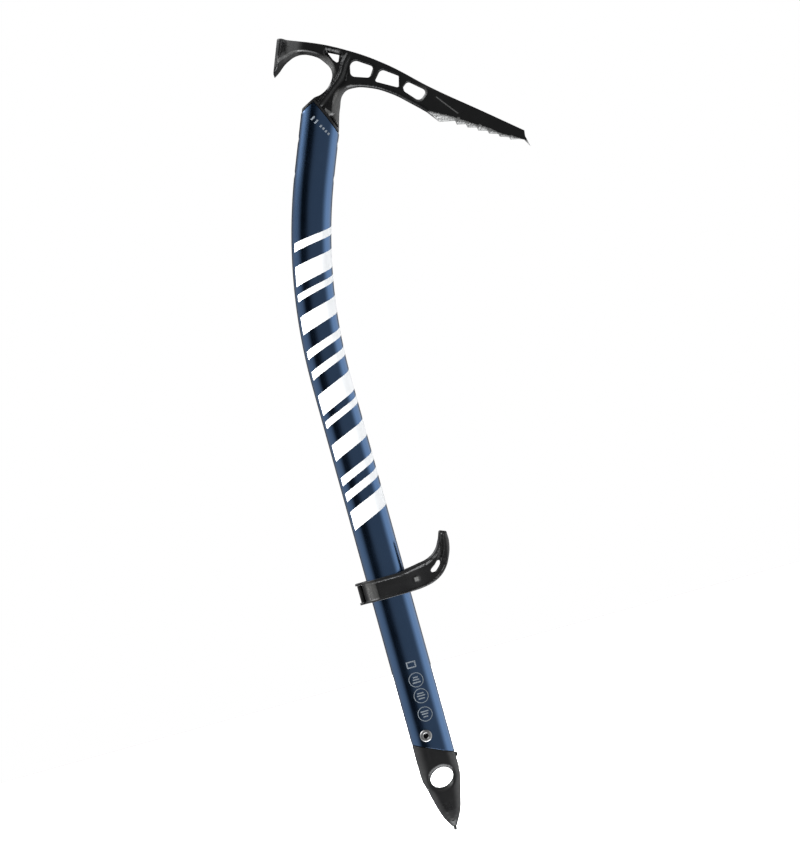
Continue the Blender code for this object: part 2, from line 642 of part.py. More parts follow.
def make_lever(shoe_back):
    """Cam lever between the lips; its lobe stands in front of the shoe when the lever is shut."""
    low = REST_LOW + FLANGE + GAP
    top = REST_HIGH - FLANGE - GAP
    lobe = shoe_back - GAP - LEVER_PIN_X
    outline = []
    for step in range(13):
        angle = math.radians(-180 + 15 * step)
        reach = LEVER_HALF + (lobe - LEVER_HALF) * max(0.0, math.cos(angle)) ** 6
        outline.append((reach * math.cos(angle), reach * math.sin(angle)))
    outline[-1:] = [(lobe, 0.0), (lobe - 0.25, 0.8), (LEVER_HALF, 1.4)]
    outline += [(LEVER_HALF, 15.0), (1.2, 17.0), (0.2, 17.6), (-LEVER_HALF, 17.2)]
    place = Matrix.Translation((LEVER_PIN_X * MM, LEVER_PIN_Y * MM, high((low + top) / 2) * MM))
    lever = plate("lock_lever", [outline], (top - low) / 2, BLACK_NYLON, Matrix.Identity(4))
    lever.matrix_world = place
    boolean(lever, rod("lever_bore", LEVER_PIN_RADIUS + 0.1, 40, None, place), "DIFFERENCE")
    pin_place = Matrix.Translation((LEVER_PIN_X * MM, LEVER_PIN_Y * MM, high((REST_LOW + REST_HIGH) / 2) * MM))
    rod("lever_pin", LEVER_PIN_RADIUS, REST_HIGH - REST_LOW - 0.3, BRIGHT_STEEL, pin_place)


make_shaft()
make_head()
make_tang_shims()
make_ferrule()
make_spike_tip()
make_rivet()
make_hand_rest()
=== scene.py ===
"""Looks of the technical ice axe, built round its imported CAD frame.

Lengths are in millimetres and become metres when a mesh is made.  The shaft stands along +Z, the pick points
to +X, and Y = 0 is the plane of symmetry.  Outlines are drawn in X and in the height above the ferrule's end;
the spike's point, which is the frame's origin, is POINT below that.
"""
import math

import bpy
import numpy as np
from mathutils import Matrix, Vector
from mathutils.geometry import delaunay_2d_cdt
from mathutils.kdtree import KDTree


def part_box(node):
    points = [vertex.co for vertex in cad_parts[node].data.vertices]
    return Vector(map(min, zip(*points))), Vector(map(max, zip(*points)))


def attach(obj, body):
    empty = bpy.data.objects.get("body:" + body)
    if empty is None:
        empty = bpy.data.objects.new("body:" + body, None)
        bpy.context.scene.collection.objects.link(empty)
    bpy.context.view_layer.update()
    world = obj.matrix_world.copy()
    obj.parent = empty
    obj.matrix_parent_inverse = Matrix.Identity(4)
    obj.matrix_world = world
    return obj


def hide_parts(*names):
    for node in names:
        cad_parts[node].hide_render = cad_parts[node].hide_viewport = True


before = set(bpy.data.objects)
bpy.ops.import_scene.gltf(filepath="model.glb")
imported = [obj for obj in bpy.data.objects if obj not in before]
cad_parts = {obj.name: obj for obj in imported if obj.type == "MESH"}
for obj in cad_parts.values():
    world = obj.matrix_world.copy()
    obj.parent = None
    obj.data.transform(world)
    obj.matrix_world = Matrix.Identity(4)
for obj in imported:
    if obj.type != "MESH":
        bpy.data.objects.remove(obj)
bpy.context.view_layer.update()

MM = 0.001
POINT = 1.5
TUBE_HALF_X = -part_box("shaft_tube")[0].x / MM
TUBE_HALF_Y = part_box("shaft_tube")[1].y / MM
BEND_START = 343.0
BEND_RADIUS = 410.0
BEND_ANGLE = math.radians(21.9)
BEND_LENGTH = BEND_RADIUS * BEND_ANGLE
BEND_END = np.array([BEND_RADIUS * (1 - math.cos(BEND_ANGLE)),
                     BEND_START + BEND_RADIUS * math.sin(BEND_ANGLE)])
TUBE_WALL = 1.6
TUBE_TOP_CUT = [(31.0, 540.0), (42.5, 545.5), (49.0, 531.5), (54.9, 516.5)]
TUBE_FOOT_CUT = [(-15.6, 68.4), (0.0, 61.5), (12.0, 56.0), (15.6, 54.8)]
GAP = 0.3
RIM_THICKNESS = 1.5

CORNER = "VECTOR"
SMOOTH = "AUTO"
PARTS = bpy.data.collections.new("ice_axe_looks")
bpy.context.scene.collection.children.link(PARTS)


# ------------------------------------------------------------------ outlines

def arc_knots(before, corner, after, radius):
    """The two knots of a round corner, as (place, left kind, left handle, right kind, right handle)."""
    to_before = (before - corner).normalized()
    to_after = (after - corner).normalized()
    half_turn = (math.pi - to_before.angle(to_after)) / 2
    run = radius * math.tan(half_turn)
    reach = radius * 4 / 3 * math.tan(half_turn / 2)
    first = corner + to_before * run
    second = corner + to_after * run
    return [(first, CORNER, first, "FREE", first - to_before * reach),
            (second, "FREE", second - to_after * reach, CORNER, second)]


def drawn(points, cyclic=True):
    """Polyline of an outline: (x, z) is a corner, (x, z, SMOOTH) a curve's point, (x, z, radius) round."""
    places = [Vector((p[0], p[1], 0)) for p in points]
    knots = []
    for k, point in enumerate(points):
        kind = point[2] if len(point) > 2 else CORNER
        if isinstance(kind, str):
            knots.append((places[k], kind, places[k], kind, places[k]))
        else:
            knots += arc_knots(places[k - 1], places[k], places[(k + 1) % len(places)], kind)
    curve = bpy.data.curves.new("outline", "CURVE")
    curve.dimensions = "2D"
    curve.fill_mode = "NONE"
    curve.resolution_u = 24
    spline = curve.splines.new("BEZIER")
    spline.bezier_points.add(len(knots) - 1)
    spline.use_cyclic_u = cyclic
    for knot, (place, left_kind, left, right_kind, right) in zip(spline.bezier_points, knots):
        knot.co = place
        knot.handle_left_type = left_kind
        knot.handle_right_type = right_kind
        if left_kind == "FREE":
            knot.handle_left = left
        if right_kind == "FREE":
            knot.handle_right = right
    obj = bpy.data.objects.new("outline", curve)
    bpy.context.scene.collection.objects.link(obj)
    mesh = bpy.data.meshes.new_from_object(obj.evaluated_get(bpy.context.evaluated_depsgraph_get()))
    line = np.array([v.co[:2] for v in mesh.vertices], float)
    bpy.data.objects.remove(obj, do_unlink=True)
    bpy.data.meshes.remove(mesh)
    bpy.data.curves.remove(curve)
    return line


def even(loop, step, turn=0.3, corner=0.22):
    """Points along a closed polyline, about step apart and closer where it bends; its corners are kept."""
    edges = np.roll(loop, -1, 0) - loop
    length = np.linalg.norm(edges, axis=1)
    loop, edges, length = loop[length > 1e-6], edges[length > 1e-6], length[length > 1e-6]
    heading = np.arctan2(edges[:, 1], edges[:, 0])
    bend = np.abs((heading - np.roll(heading, 1) + math.pi) % (2 * math.pi) - math.pi)
    corners = np.flatnonzero(bend > corner)
    first = corners[0] if len(corners) else 0
    loop, length, bend = (np.roll(a, -first, 0) for a in (loop, length, bend))
    stops = [0, *np.flatnonzero(bend > corner)[1:], len(loop)]
    closed = np.vstack([loop, loop[:1]])
    bend = np.append(bend, 0.0)
    out = []
    for a, b in zip(stops, stops[1:]):
        inner = np.where(np.arange(a + 1, b + 1) < b, bend[a + 1:b + 1], 0.0)
        cost = np.concatenate([[0.0], np.cumsum(length[a:b] / step + inner / turn)])
        count = max(1, round(cost[-1]))
        wanted = np.linspace(0.0, cost[-1], count + 1)[:-1]
        out.append(np.column_stack([np.interp(wanted, cost, closed[a:b + 1, k]) for k in (0, 1)]))
    return np.vstack(out)


def spaced(line, step):
    """Points along an open polyline, a step apart."""
    line = np.asarray(line, float)
    far = np.concatenate([[0.0], np.cumsum(np.linalg.norm(np.diff(line, axis=0), axis=1))])
    wanted = np.linspace(0.0, far[-1], max(2, round(far[-1] / step) + 1))
    return np.column_stack([np.interp(wanted, far, line[:, k]) for k in (0, 1)])


def closed(loop):
    return np.vstack([loop, loop[:1]])


def offset_line(points, distance):
    """An open polyline moved sideways to its left by distance, mitred at its corners."""
    points = np.asarray(points, float)
    edges = np.diff(points, axis=0)
    normals = np.column_stack([-edges[:, 1], edges[:, 0]]) / np.linalg.norm(edges, axis=1)[:, None]
    before = np.vstack([normals[:1], normals])
    after = np.vstack([normals, normals[-1:]])
    middle = before + after
    middle /= np.linalg.norm(middle, axis=1)[:, None]
    return points + middle * (distance / np.maximum((middle * before).sum(1), 0.3))[:, None]


def line_distance(points, line):
    """Distance from each point to an open polyline."""
    best = np.full(len(points), 1e9)
    for a, b in zip(line[:-1], line[1:]):
        edge = b - a
        t = np.clip((points - a) @ edge / max(edge @ edge, 1e-12), 0, 1)
        best = np.minimum(best, np.linalg.norm(points - a - t[:, None] * edge, axis=1))
    return best


def loop_distance(points, loop):
    return line_distance(points, closed(loop))


def inside(points, loops):
    """Whether each point is inside an odd number of closed polylines."""
    odd = np.zeros(len(points), bool)
    for loop in loops:
        for (ax, az), (bx, bz) in zip(loop, np.roll(loop, -1, 0)):
            if az != bz:
                crosses = (az > points[:, 1]) != (bz > points[:, 1])
                odd ^= crosses & (points[:, 0] < (bx - ax) * (points[:, 1] - az) / (bz - az) + ax)
    return odd


def ramp(low, high, value):
    """Smooth step from 0 at low to 1 at high."""
    t = np.clip((value - low) / (high - low), 0, 1)
    return t * t * (3 - 2 * t)


def smaller(a, b, blend):
    """The smaller of two heights, with a round valley between them."""
    gap = np.clip(1 - np.abs(a - b) / blend, 0, 1)
    return np.minimum(a, b) - gap * gap * blend / 4


def larger(a, b, blend):
    return -smaller(-a, -b, blend)


def rounded(height, distance, radius):
    """Half thickness brought down near an edge, so that the edge has that radius."""
    radius = np.minimum(radius, 0.92 * height)
    depth = np.clip(1 - distance / np.maximum(radius, 1e-6), 0, 1)
    return height - radius * (1 - np.sqrt(1 - depth * depth))


# ------------------------------------------------------------------ meshes

SLIVER = 2e-5
CRISP_REACH = 5.2


def side_frame():
    """From outlines (x, z) and thickness y, in millimetres above the ferrule's end, to the frame's metres."""
    return Matrix.Scale(MM, 4) @ Matrix.Translation((0, 0, POINT))


def new_piece(name, vertices, faces, matrix, sharp=60.0, values=None):
    mesh = bpy.data.meshes.new(name)
    mesh.from_pydata([tuple(v) for v in vertices], [], [tuple(f) for f in faces])
    mesh.transform(matrix)
    mesh.validate()
    mesh.shade_smooth()
    mesh.set_sharp_from_angle(angle=math.radians(sharp))
    for key, column in (values or {}).items():
        layer = mesh.attributes.new(key, "FLOAT", "POINT")
        layer.data.foreach_set("value", np.asarray(column, np.float32))
    obj = bpy.data.objects.new(name, mesh)
    PARTS.objects.link(obj)
    return obj


def next_points(loops):
    """For each point of the joined loops, the number of the point that follows it."""
    starts = np.cumsum([0, *map(len, loops)])
    return np.concatenate([start + np.roll(np.arange(len(loop)), -1) for start, loop in zip(starts, loops)])


def filled(loops, points, lines=()):
    """Places, triangles and rim edges of the flat fill of closed loops, whose points come first in points.

    Lines are more edges that the triangles keep.  Slivers along straight edges are left out.
    """
    following = next_points(loops)
    edges = [(a, int(b)) for a, b in enumerate(following)] + list(lines)
    places = [Vector(p) for p in points]
    placed, _, triangles, sources, _, _ = delaunay_2d_cdt(places, edges, [], 0, 1e-7, True)
    placed = np.array([tuple(v) for v in placed])
    where = {source: k for k, group in enumerate(sources) for source in group}
    rim = [(where[a], where[int(b)]) for a, b in enumerate(following)]
    triangles = np.array([t for t in triangles if len(t) == 3])
    first, second, third = placed[triangles].transpose(1, 0, 2)
    (ax, az), (bx, bz) = (second - first).T, (third - first).T
    wide = np.abs(ax * bz - az * bx) > SLIVER
    return placed, triangles[inside(placed[triangles].mean(1), loops) & wide], rim


def two_sided(near_side, far_side, triangles, rim):
    """Vertices and faces of the solid between two layers that share their triangles and rim edges."""
    total = len(near_side)
    faces = [tuple(t) for t in triangles] + [tuple(t[::-1] + total) for t in triangles]
    faces += [(b, a, a + total, b + total) for a, b in rim]
    return np.vstack([near_side, far_side]), faces


def quads(rows, count, around=True, back=False):
    """Faces between rows of count points, round each row or along it, and back to the first row or not."""
    return [(r * count + k, r * count + (k + 1) % count,
             (r + 1) % rows * count + (k + 1) % count, (r + 1) % rows * count + k)
            for r in range(rows if back else rows - 1) for k in range(count if around else count - 1)]


def thinned(groups, gap):
    """The groups of points, without those of the later groups that crowd a point kept before them."""
    everything = np.vstack(groups)
    tree = KDTree(len(everything))
    for k, place in enumerate(everything):
        tree.insert((*place, 0), k)
    tree.balance()
    keep = np.zeros(len(everything), bool)
    keep[:len(groups[0])] = True
    for k in range(len(groups[0]), len(everything)):
        keep[k] = not any(keep[other] for _, other, _ in tree.find_range((*everything[k], 0), gap))
    return everything[keep]


def eased(heights, triangles, free, passes):
    """Heights averaged with their neighbours' at the free points."""
    pairs = np.vstack([triangles[:, (0, 1)], triangles[:, (1, 2)], triangles[:, (2, 0)]])
    count = np.zeros(len(heights))
    np.add.at(count, pairs[:, 0], 1)
    np.add.at(count, pairs[:, 1], 1)
    for _ in range(passes):
        total = np.zeros(len(heights))
        np.add.at(total, pairs[:, 0], heights[pairs[:, 1]])
        np.add.at(total, pairs[:, 1], heights[pairs[:, 0]])
        heights = np.where(free, 0.4 * heights + 0.6 * total / np.maximum(count, 1), heights)
    return heights


def triangular_grid(low, high, step):
    """Points a step apart between two corners, each row half a step beside the one below."""
    rows = np.arange(low[1], high[1], step * 0.866)
    return np.array([(x, row) for k, row in enumerate(rows)
                     for x in np.arange(low[0] + (k % 2) * step / 2, high[0], step)])


def relief(name, outlines, half, step, offsets, matrix=None, creases=(), sharp=60.0, guides=(),
           ease=2, crisp=None):
    """Solid, alike on both sides of its middle plane, from outlines and its half thickness at each point.

    The first outline is the outer one and the others are holes.  Rings of points follow every outline at the
    given offsets, so that half(points, distances) can round the edges; distances has a row for each outline.
    Guides are lines with points of their own, where a slope begins or ends.  Ease is how often the thickness is
    averaged with its neighbours', away from edges, creases and the crisp line's border.
    """
    loops = []
    for k, outline in enumerate(outlines):
        loop = even(outline, step)
        x, z = loop.T
        area = (x * np.roll(z, -1) - np.roll(x, -1) * z).sum()
        loops.append(loop[::-1] if (area > 0) == (k > 0) else loop)
    rim = np.vstack(loops)
    following = next_points(loops)
    direction = rim[following] - rim
    direction /= np.linalg.norm(direction, axis=1)[:, None]
    normal = np.column_stack([-direction[:, 1], direction[:, 0]])
    inward = normal.copy()
    inward[following] += normal
    inward /= np.maximum(np.linalg.norm(inward, axis=1), 0.2)[:, None]

    def nearest(points):
        return np.array([loop_distance(points, loop) for loop in loops])

    points = [rim]
    for offset in offsets:
        ring = rim + inward * offset
        ring = ring[(nearest(ring).min(0) > 0.93 * offset) & inside(ring, loops)]
        cell = min(0.45 * step, 0.6 * offset)
        points.append(ring[np.unique(np.round(ring / cell), axis=0, return_index=True)[1]])
    grid = triangular_grid(rim.min(0), rim.max(0), step)
    grid = grid[inside(grid, loops)]
    grid = grid[nearest(grid).min(0) > offsets[-1] + 0.5 * step]
    extra = [np.vstack(points)]
    for guide in guides:
        grid = grid[line_distance(grid, guide) > 0.45 * step]
        guide = guide[inside(guide, loops)]
        extra.append(guide[nearest(guide).min(0) > 0.25])
    for crease in creases:
        grid = grid[line_distance(grid, crease) > 0.3]
    points = [thinned([*extra, grid], 0.45 * step)]
    count = len(points[0])
    lines = []
    for crease in creases:
        points.append(crease)
        lines += [(count + k, count + k + 1) for k in range(len(crease) - 1)]
        count += len(crease)

    placed, triangles, rim_edges = filled(loops, np.vstack(points), lines)
    distances = nearest(placed)
    settled = distances.min(0) > 0.7
    for crease in creases:
        settled &= line_distance(placed, crease) > 1.0
    if crisp is not None:
        settled &= line_distance(placed, crisp) > CRISP_REACH
    thick = eased(half(placed, distances), triangles, settled, ease)
    near_side = np.column_stack([placed[:, 0], -thick, placed[:, 1]])
    vertices, faces = two_sided(near_side, near_side * (1, -1, 1), triangles, rim_edges)
    return new_piece(name, vertices, faces, matrix or side_frame(), sharp, {"rim": np.tile(distances.min(0), 2)})


def lathe(name, profile, matrix, steps=64, sharp=40.0):
    """Turned piece: (radius, height) from top to bottom round local Z, closed on the axis or on itself."""
    profile = np.asarray(profile, float)
    solid = profile[0, 0] < 1e-9 and profile[-1, 0] < 1e-9
    angles = np.arange(steps) * 2 * math.pi / steps
    vertices, rings = [], []
    for radius, height in profile:
        if radius < 1e-9:
            rings.append([len(vertices)] * steps)
            vertices.append((0, 0, height))
        else:
            rings.append(list(range(len(vertices), len(vertices) + steps)))
            vertices += [(radius * math.cos(a), radius * math.sin(a), height) for a in angles]
    pairs = list(zip(rings, rings[1:])) + ([] if solid else [(rings[-1], rings[0])])
    faces = []
    for upper, lower in pairs:
        for k in range(steps):
            n = (k + 1) % steps
            face = list(dict.fromkeys((upper[k], lower[k], lower[n], upper[n])))
            if len(face) > 2:
                faces.append(face)
    return new_piece(name, vertices, faces, matrix, sharp)


def drill(radius, reach, matrix, steps=64):
    """Round cutter that reaches as far above as below its frame's origin."""
    return lathe("drill", [(0, reach), (radius, reach), (radius, -reach), (0, -reach)], matrix, steps)


def across(x, z):
    """Frame, in millimetres, whose local Z runs along +Y at (x, z)."""
    return side_frame() @ Matrix.Translation((x, 0, z)) @ Matrix.Rotation(-math.pi / 2, 4, "X")


def shoulder_line():
    """The neck's foot, from the peak of the tube's oblique end to its front, beyond the shims' rim."""
    line = offset_line(TUBE_TOP_CUT, RIM_THICKNESS + 2 * GAP)[1:]
    side = upper_coordinates(line)[0]
    share = (NECK_FRONT - side[1]) / (side[2] - side[1])
    line[2] = line[1] + share * (line[2] - line[1])
    return line


def upper_place(side, along):
    """The (x, z) of places given across and along the straight upper shaft."""
    sine, cosine = math.sin(BEND_ANGLE), math.cos(BEND_ANGLE)
    return np.stack([BEND_END[0] + side * cosine + along * sine,
                     BEND_END[1] - side * sine + along * cosine], -1)


def upper_coordinates(points):
    """How far points lie across and along the straight upper shaft."""
    offset = points - BEND_END
    sine, cosine = math.sin(BEND_ANGLE), math.cos(BEND_ANGLE)
    return offset[:, 0] * cosine - offset[:, 1] * sine, offset[:, 0] * sine + offset[:, 1] * cosine


def cut(obj, cutters):
    """Cuts the closed cutters out of a piece and removes them."""
    for cutter in cutters:
        mod = obj.modifiers.new(cutter.name, "BOOLEAN")
        mod.object = cutter
        mod.operation = "DIFFERENCE"
        mod.solver = "EXACT"
    bpy.context.view_layer.update()
    mesh = bpy.data.meshes.new_from_object(obj.evaluated_get(bpy.context.evaluated_depsgraph_get()))
    obj.modifiers.clear()
    obj.data = mesh
    for cutter in cutters:
        bpy.data.objects.remove(cutter, do_unlink=True)
    return obj


# ------------------------------------------------------------------ head

SHANK = 4.5
ADZE_HALF = 25.0
NECK_HALF = TUBE_HALF_Y - 0.2
TANG_HALF = 4.6
TANG_SIDES = (-6.2, 8.0)
TANG_END = -22.0
NECK_FRONT = 14.4
ADZE_PROFILE = [(-36.0, 30.0), (-34.4, 24.6), (-33.0, 19.6), (-31.8, 15.6), (-30.8, 13.2), (-29.4, 11.3),
                (-26.0, 8.2), (-23.0, 5.9), (-20.5, 4.3), (-18.0, 3.0)]
TOOTH_PITCH = 7.05
TOOTH_DROP = 4.26
TOOTH_COUNT = 6
GROUND_LINE = np.array([(121.2, 516.2), (124.0, 515.6), (130.0, 512.3), (140.0, 506.7), (150.0, 499.8),
                        (160.0, 493.8), (170.0, 486.0), (180.0, 480.5), (188.0, 475.5)])
PICK_MIDDLE = np.array([(60.0, 568.0), (74.0, 562.0), (100.0, 547.7), (121.0, 528.0), (140.0, 514.0),
                        (160.0, 498.5), (190.0, 478.0)])
NECK_RIB = [(80.0, 573.6), (76.4, 571.4, SMOOTH), (72.3, 567.6, SMOOTH), (69.0, 562.0, SMOOTH),
            (64.6, 556.8, SMOOTH), (58.6, 552.0, SMOOTH), (53.0, 547.4, SMOOTH), (47.0, 542.6)]
NECK_POCKET = [(75.5, 566.0), (72.4, 563.0, SMOOTH), (68.0, 555.6, SMOOTH), (61.0, 549.6, SMOOTH),
               (53.0, 542.0), (54.2, 537.0), (58.0, 542.6, SMOOTH), (63.0, 549.6, SMOOTH), (70.5, 553.8),
               (71.8, 558.0)]
STEP_LINE = np.array([(131.0, 524.6), (143.0, 509.1)])
NECK_FLANK = drawn([(68.5, 547.6), (65.6, 546.0, SMOOTH), (60.1, 536.0, SMOOTH), (56.2, 523.0)], cyclic=False)
HEEL_FACET = np.array([(49.5, 538.5), (48.5, 535.0), (51.0, 531.5), (53.0, 534.5)])
ARCH_LINE = drawn([(61.4, 563.2), (58.4, 571.6, SMOOTH), (50.0, 579.2, SMOOTH), (40.0, 581.8, SMOOTH),
                   (31.0, 579.3, SMOOTH), (19.4, 572.0)], cyclic=False)
SHOULDER = shoulder_line()
NECK_RIB_LINE = drawn(NECK_RIB, cyclic=False)
NECK_POCKET_LOOP = drawn(NECK_POCKET)


def tooth_points():
    """Saw teeth from the point back to the shaft: shallow floor, then a steep face."""
    points = []
    for k in reversed(range(TOOTH_COUNT)):
        x = 140.0 + TOOTH_PITCH * k
        tip = 501.4 - TOOTH_DROP * k
        points += [(x + 0.3, tip), (x - 0.2, tip + 3.1 - 0.24 * k)]
    return points


def head_outline():
    top_edge = [(29.0, 596.2, 1.2), (50.0, 589.3, SMOOTH), (75.0, 576.7, SMOOTH), (100.0, 559.4, SMOOTH),
                (130.0, 531.7, SMOOTH), (160.0, 506.7, SMOOTH)]
    beak = [(187.2, 483.8), (186.6, 479.5), (188.4, 471.6), (185.2, 477.4), (181.6, 478.9)]
    first_tooth = [(128.3, 506.8), (121.2, 516.2)]
    underside = [(113.0, 524.2, SMOOTH), (100.0, 536.0, SMOOTH), (85.0, 544.9, SMOOTH), (73.0, 547.8, SMOOTH),
                 (65.6, 546.0, SMOOTH), (60.1, 536.0, SMOOTH), (56.9, 527.0, SMOOTH), tuple(SHOULDER[2])]
    side, along = upper_coordinates(SHOULDER)
    left, right = (np.interp(edge, side, along) for edge in TANG_SIDES)
    tang = [upper_place(TANG_SIDES[1], right), upper_place(TANG_SIDES[1], TANG_END),
            upper_place(TANG_SIDES[0], TANG_END), upper_place(TANG_SIDES[0], left)]
    arch = [(50.0, 549.6, SMOOTH), (57.5, 555.1, SMOOTH), (61.4, 563.2, SMOOTH), (58.4, 571.6, SMOOTH),
            (50.0, 579.2, SMOOTH), (40.0, 581.8, SMOOTH), (31.0, 579.3, SMOOTH), (19.4, 572.0)]
    return (top_edge + beak + tooth_points() + first_tooth + underside
            + [tuple(p) for p in tang] + [tuple(SHOULDER[0])] + arch)


def head_holes():
    window = [(62.0, 578.3, 0.5), (70.2, 574.2, 0.8), (67.6, 567.9, 1.2), (64.6, 571.8, 1.0)]
    first = [(73.9, 556.4, 3.5), (76.8, 570.0, 4.5), (92.4, 559.3, 2.6), (87.2, 551.7, 2.6)]
    second = [(90.0, 548.2, 1.6), (96.9, 556.2, 3.5), (108.4, 547.7, 1.0), (106.0, 538.9, 1.2)]
    third = [(109.2, 535.2, 2.5), (109.2, 538.7, 2.0), (113.5, 542.0, 2.8), (125.7, 531.4, 3.0),
             (118.2, 525.0, 3.6)]
    return [window, first, second, third]


def spot(points, x, z, radius):
    """A soft round spot of weight 1 at (x, z)."""
    return np.exp(-((points - (x, z)) ** 2).sum(1) / (2 * radius * radius))


def head_half(p, near):
    """Half thickness of the forging: shank, adze, neck and tang, thinned blade, ribs, pockets and edges."""
    x, z = p.T
    side, along = upper_coordinates(p)
    run = (x - 118.0) * 0.77 - (z - 521.0) * 0.64
    half = SHANK - 0.9 * ramp(4, 24, run) - 1.7 * np.clip((run - 18) / 62, 0, 1)
    on_neck = ramp(75, 65, x) * ramp(-14, -9, side)
    half = half + (NECK_HALF - SHANK) * ramp(76, 40, along) * on_neck

    flare = np.interp(side, *zip(*ADZE_PROFILE))
    back = ADZE_HALF + 0.14 * (side + 30.5) + np.minimum(side + 35.6, 0)
    blade = smaller(smaller(flare, np.full(len(x), ADZE_HALF), 1.5), back, 1.0)
    half = np.where(side < -17, larger(half, blade, 1.6), half)

    rib_away = line_distance(p, NECK_RIB_LINE)
    pocket_in = np.where(inside(p, [NECK_POCKET_LOOP]), loop_distance(p, NECK_POCKET_LOOP), 0.0)
    half = half - 1.3 * ramp(0.0, 2.2, pocket_in)
    ridge = ramp(2.6, 1.0, rib_away) * 1.8 - ramp(6.0, 2.2, rib_away) * 0.6
    half = half + ridge * ramp(37, 43, along) * ramp(80, 74, x)

    up = (p - (66.2, 576.2)) @ (0.435, 0.9)
    beside = (p - (66.2, 576.2)) @ (0.9, -0.435)
    slope = np.clip(1 - up / 3.6, 0, 1) * ramp(-3.0, 0.0, up)
    half = half - 2.9 * slope * ramp(-7.4, -5.4, beside) * ramp(7.0, 5.0, beside)

    under = z < np.interp(x, PICK_MIDDLE[:, 0], PICK_MIDDLE[:, 1])
    on_pick = ramp(64, 70, x)
    pick_edge = np.where(under, 2.3 * ramp(127, 119, x) + 0.2, 0.75)
    neck_edge = np.where(side > 2, 2.2 + 5.2 * ramp(62, 46, along), 1.0)
    edge = on_pick * pick_edge + (1 - on_pick) * neck_edge
    edge = edge + 2.6 * spot(p, 69, 548, 3.5)
    arch_away = line_distance(p, ARCH_LINE)
    on_arch = ramp(7.0, 6.0, arch_away) * ramp(67.0, 64.0, x) * ramp(559.0, 563.0, z)
    edge = edge * (1 - on_arch) + (0.6 + 3.2 * spot(p, 60, 567, 4.0)) * on_arch
    low_side = on_arch * ramp(59.0, 55.0, x) * (np.abs(arch_away - near[0]) < 0.4)
    lit = np.clip(3.5 - near[0], 0, 1.1) * 0.66
    steep = np.clip(2.4 - near[0], 0, 2.4) * 1.25
    half = np.maximum(half - (lit + steep) * low_side, 0.8)
    half = rounded(half, near[0], edge)
    hole_edge = 0.9 + 0.9 * spot(p, 91.5, 555, 3.6) + 0.9 * spot(p, 122, 527, 3.6)
    for distance in near[2:]:
        half = rounded(half, distance, hole_edge)
    half = rounded(half, near[1], 0.5)

    step_away = line_distance(p, STEP_LINE)
    under_step = z < np.interp(x, STEP_LINE[:, 0], STEP_LINE[:, 1])
    half = half - 0.32 * np.where(under_step, ramp(6.0, 0.6, step_away), 0.5 * ramp(0.5, 0.0, step_away))
    drop = (np.interp(x, GROUND_LINE[:, 0], GROUND_LINE[:, 1]) - z) * (x > 121.2) * 0.8
    half = np.where(drop > 0, np.maximum(half - 0.62 * drop, 0.35), half)

    foot_side, foot_along = upper_coordinates(SHOULDER)
    in_tube = along < np.interp(side, foot_side, foot_along) - 0.02
    in_tube &= (side > TANG_SIDES[0] - 0.1) & (side < TANG_SIDES[1] + 0.1)
    return np.where(in_tube, rounded(np.full(len(x), TANG_HALF), near[0], 0.5), half)


def head_guides():
    """Lines beside the neck's rib and round its pocket."""
    guides = [spaced(offset_line(NECK_RIB_LINE, away), 0.45)
              for away in (-4.4, -3.4, -2.6, -2.1, -1.6, -1.0, 0.0, 1.0, 1.6, 2.1, 2.6, 3.4, 4.4)]
    guides += [spaced(offset_line(STEP_LINE, away), 0.5) for away in (-0.6, 0.0, 0.6)]
    pocket = even(NECK_POCKET_LOOP, 0.45)
    middle = pocket.mean(0)
    far = np.linalg.norm(pocket - middle, axis=1)[:, None]
    guides += [closed(middle + (pocket - middle) * (1 - depth / far)) for depth in (0.0, 0.7, 1.4, 2.2)]
    return guides


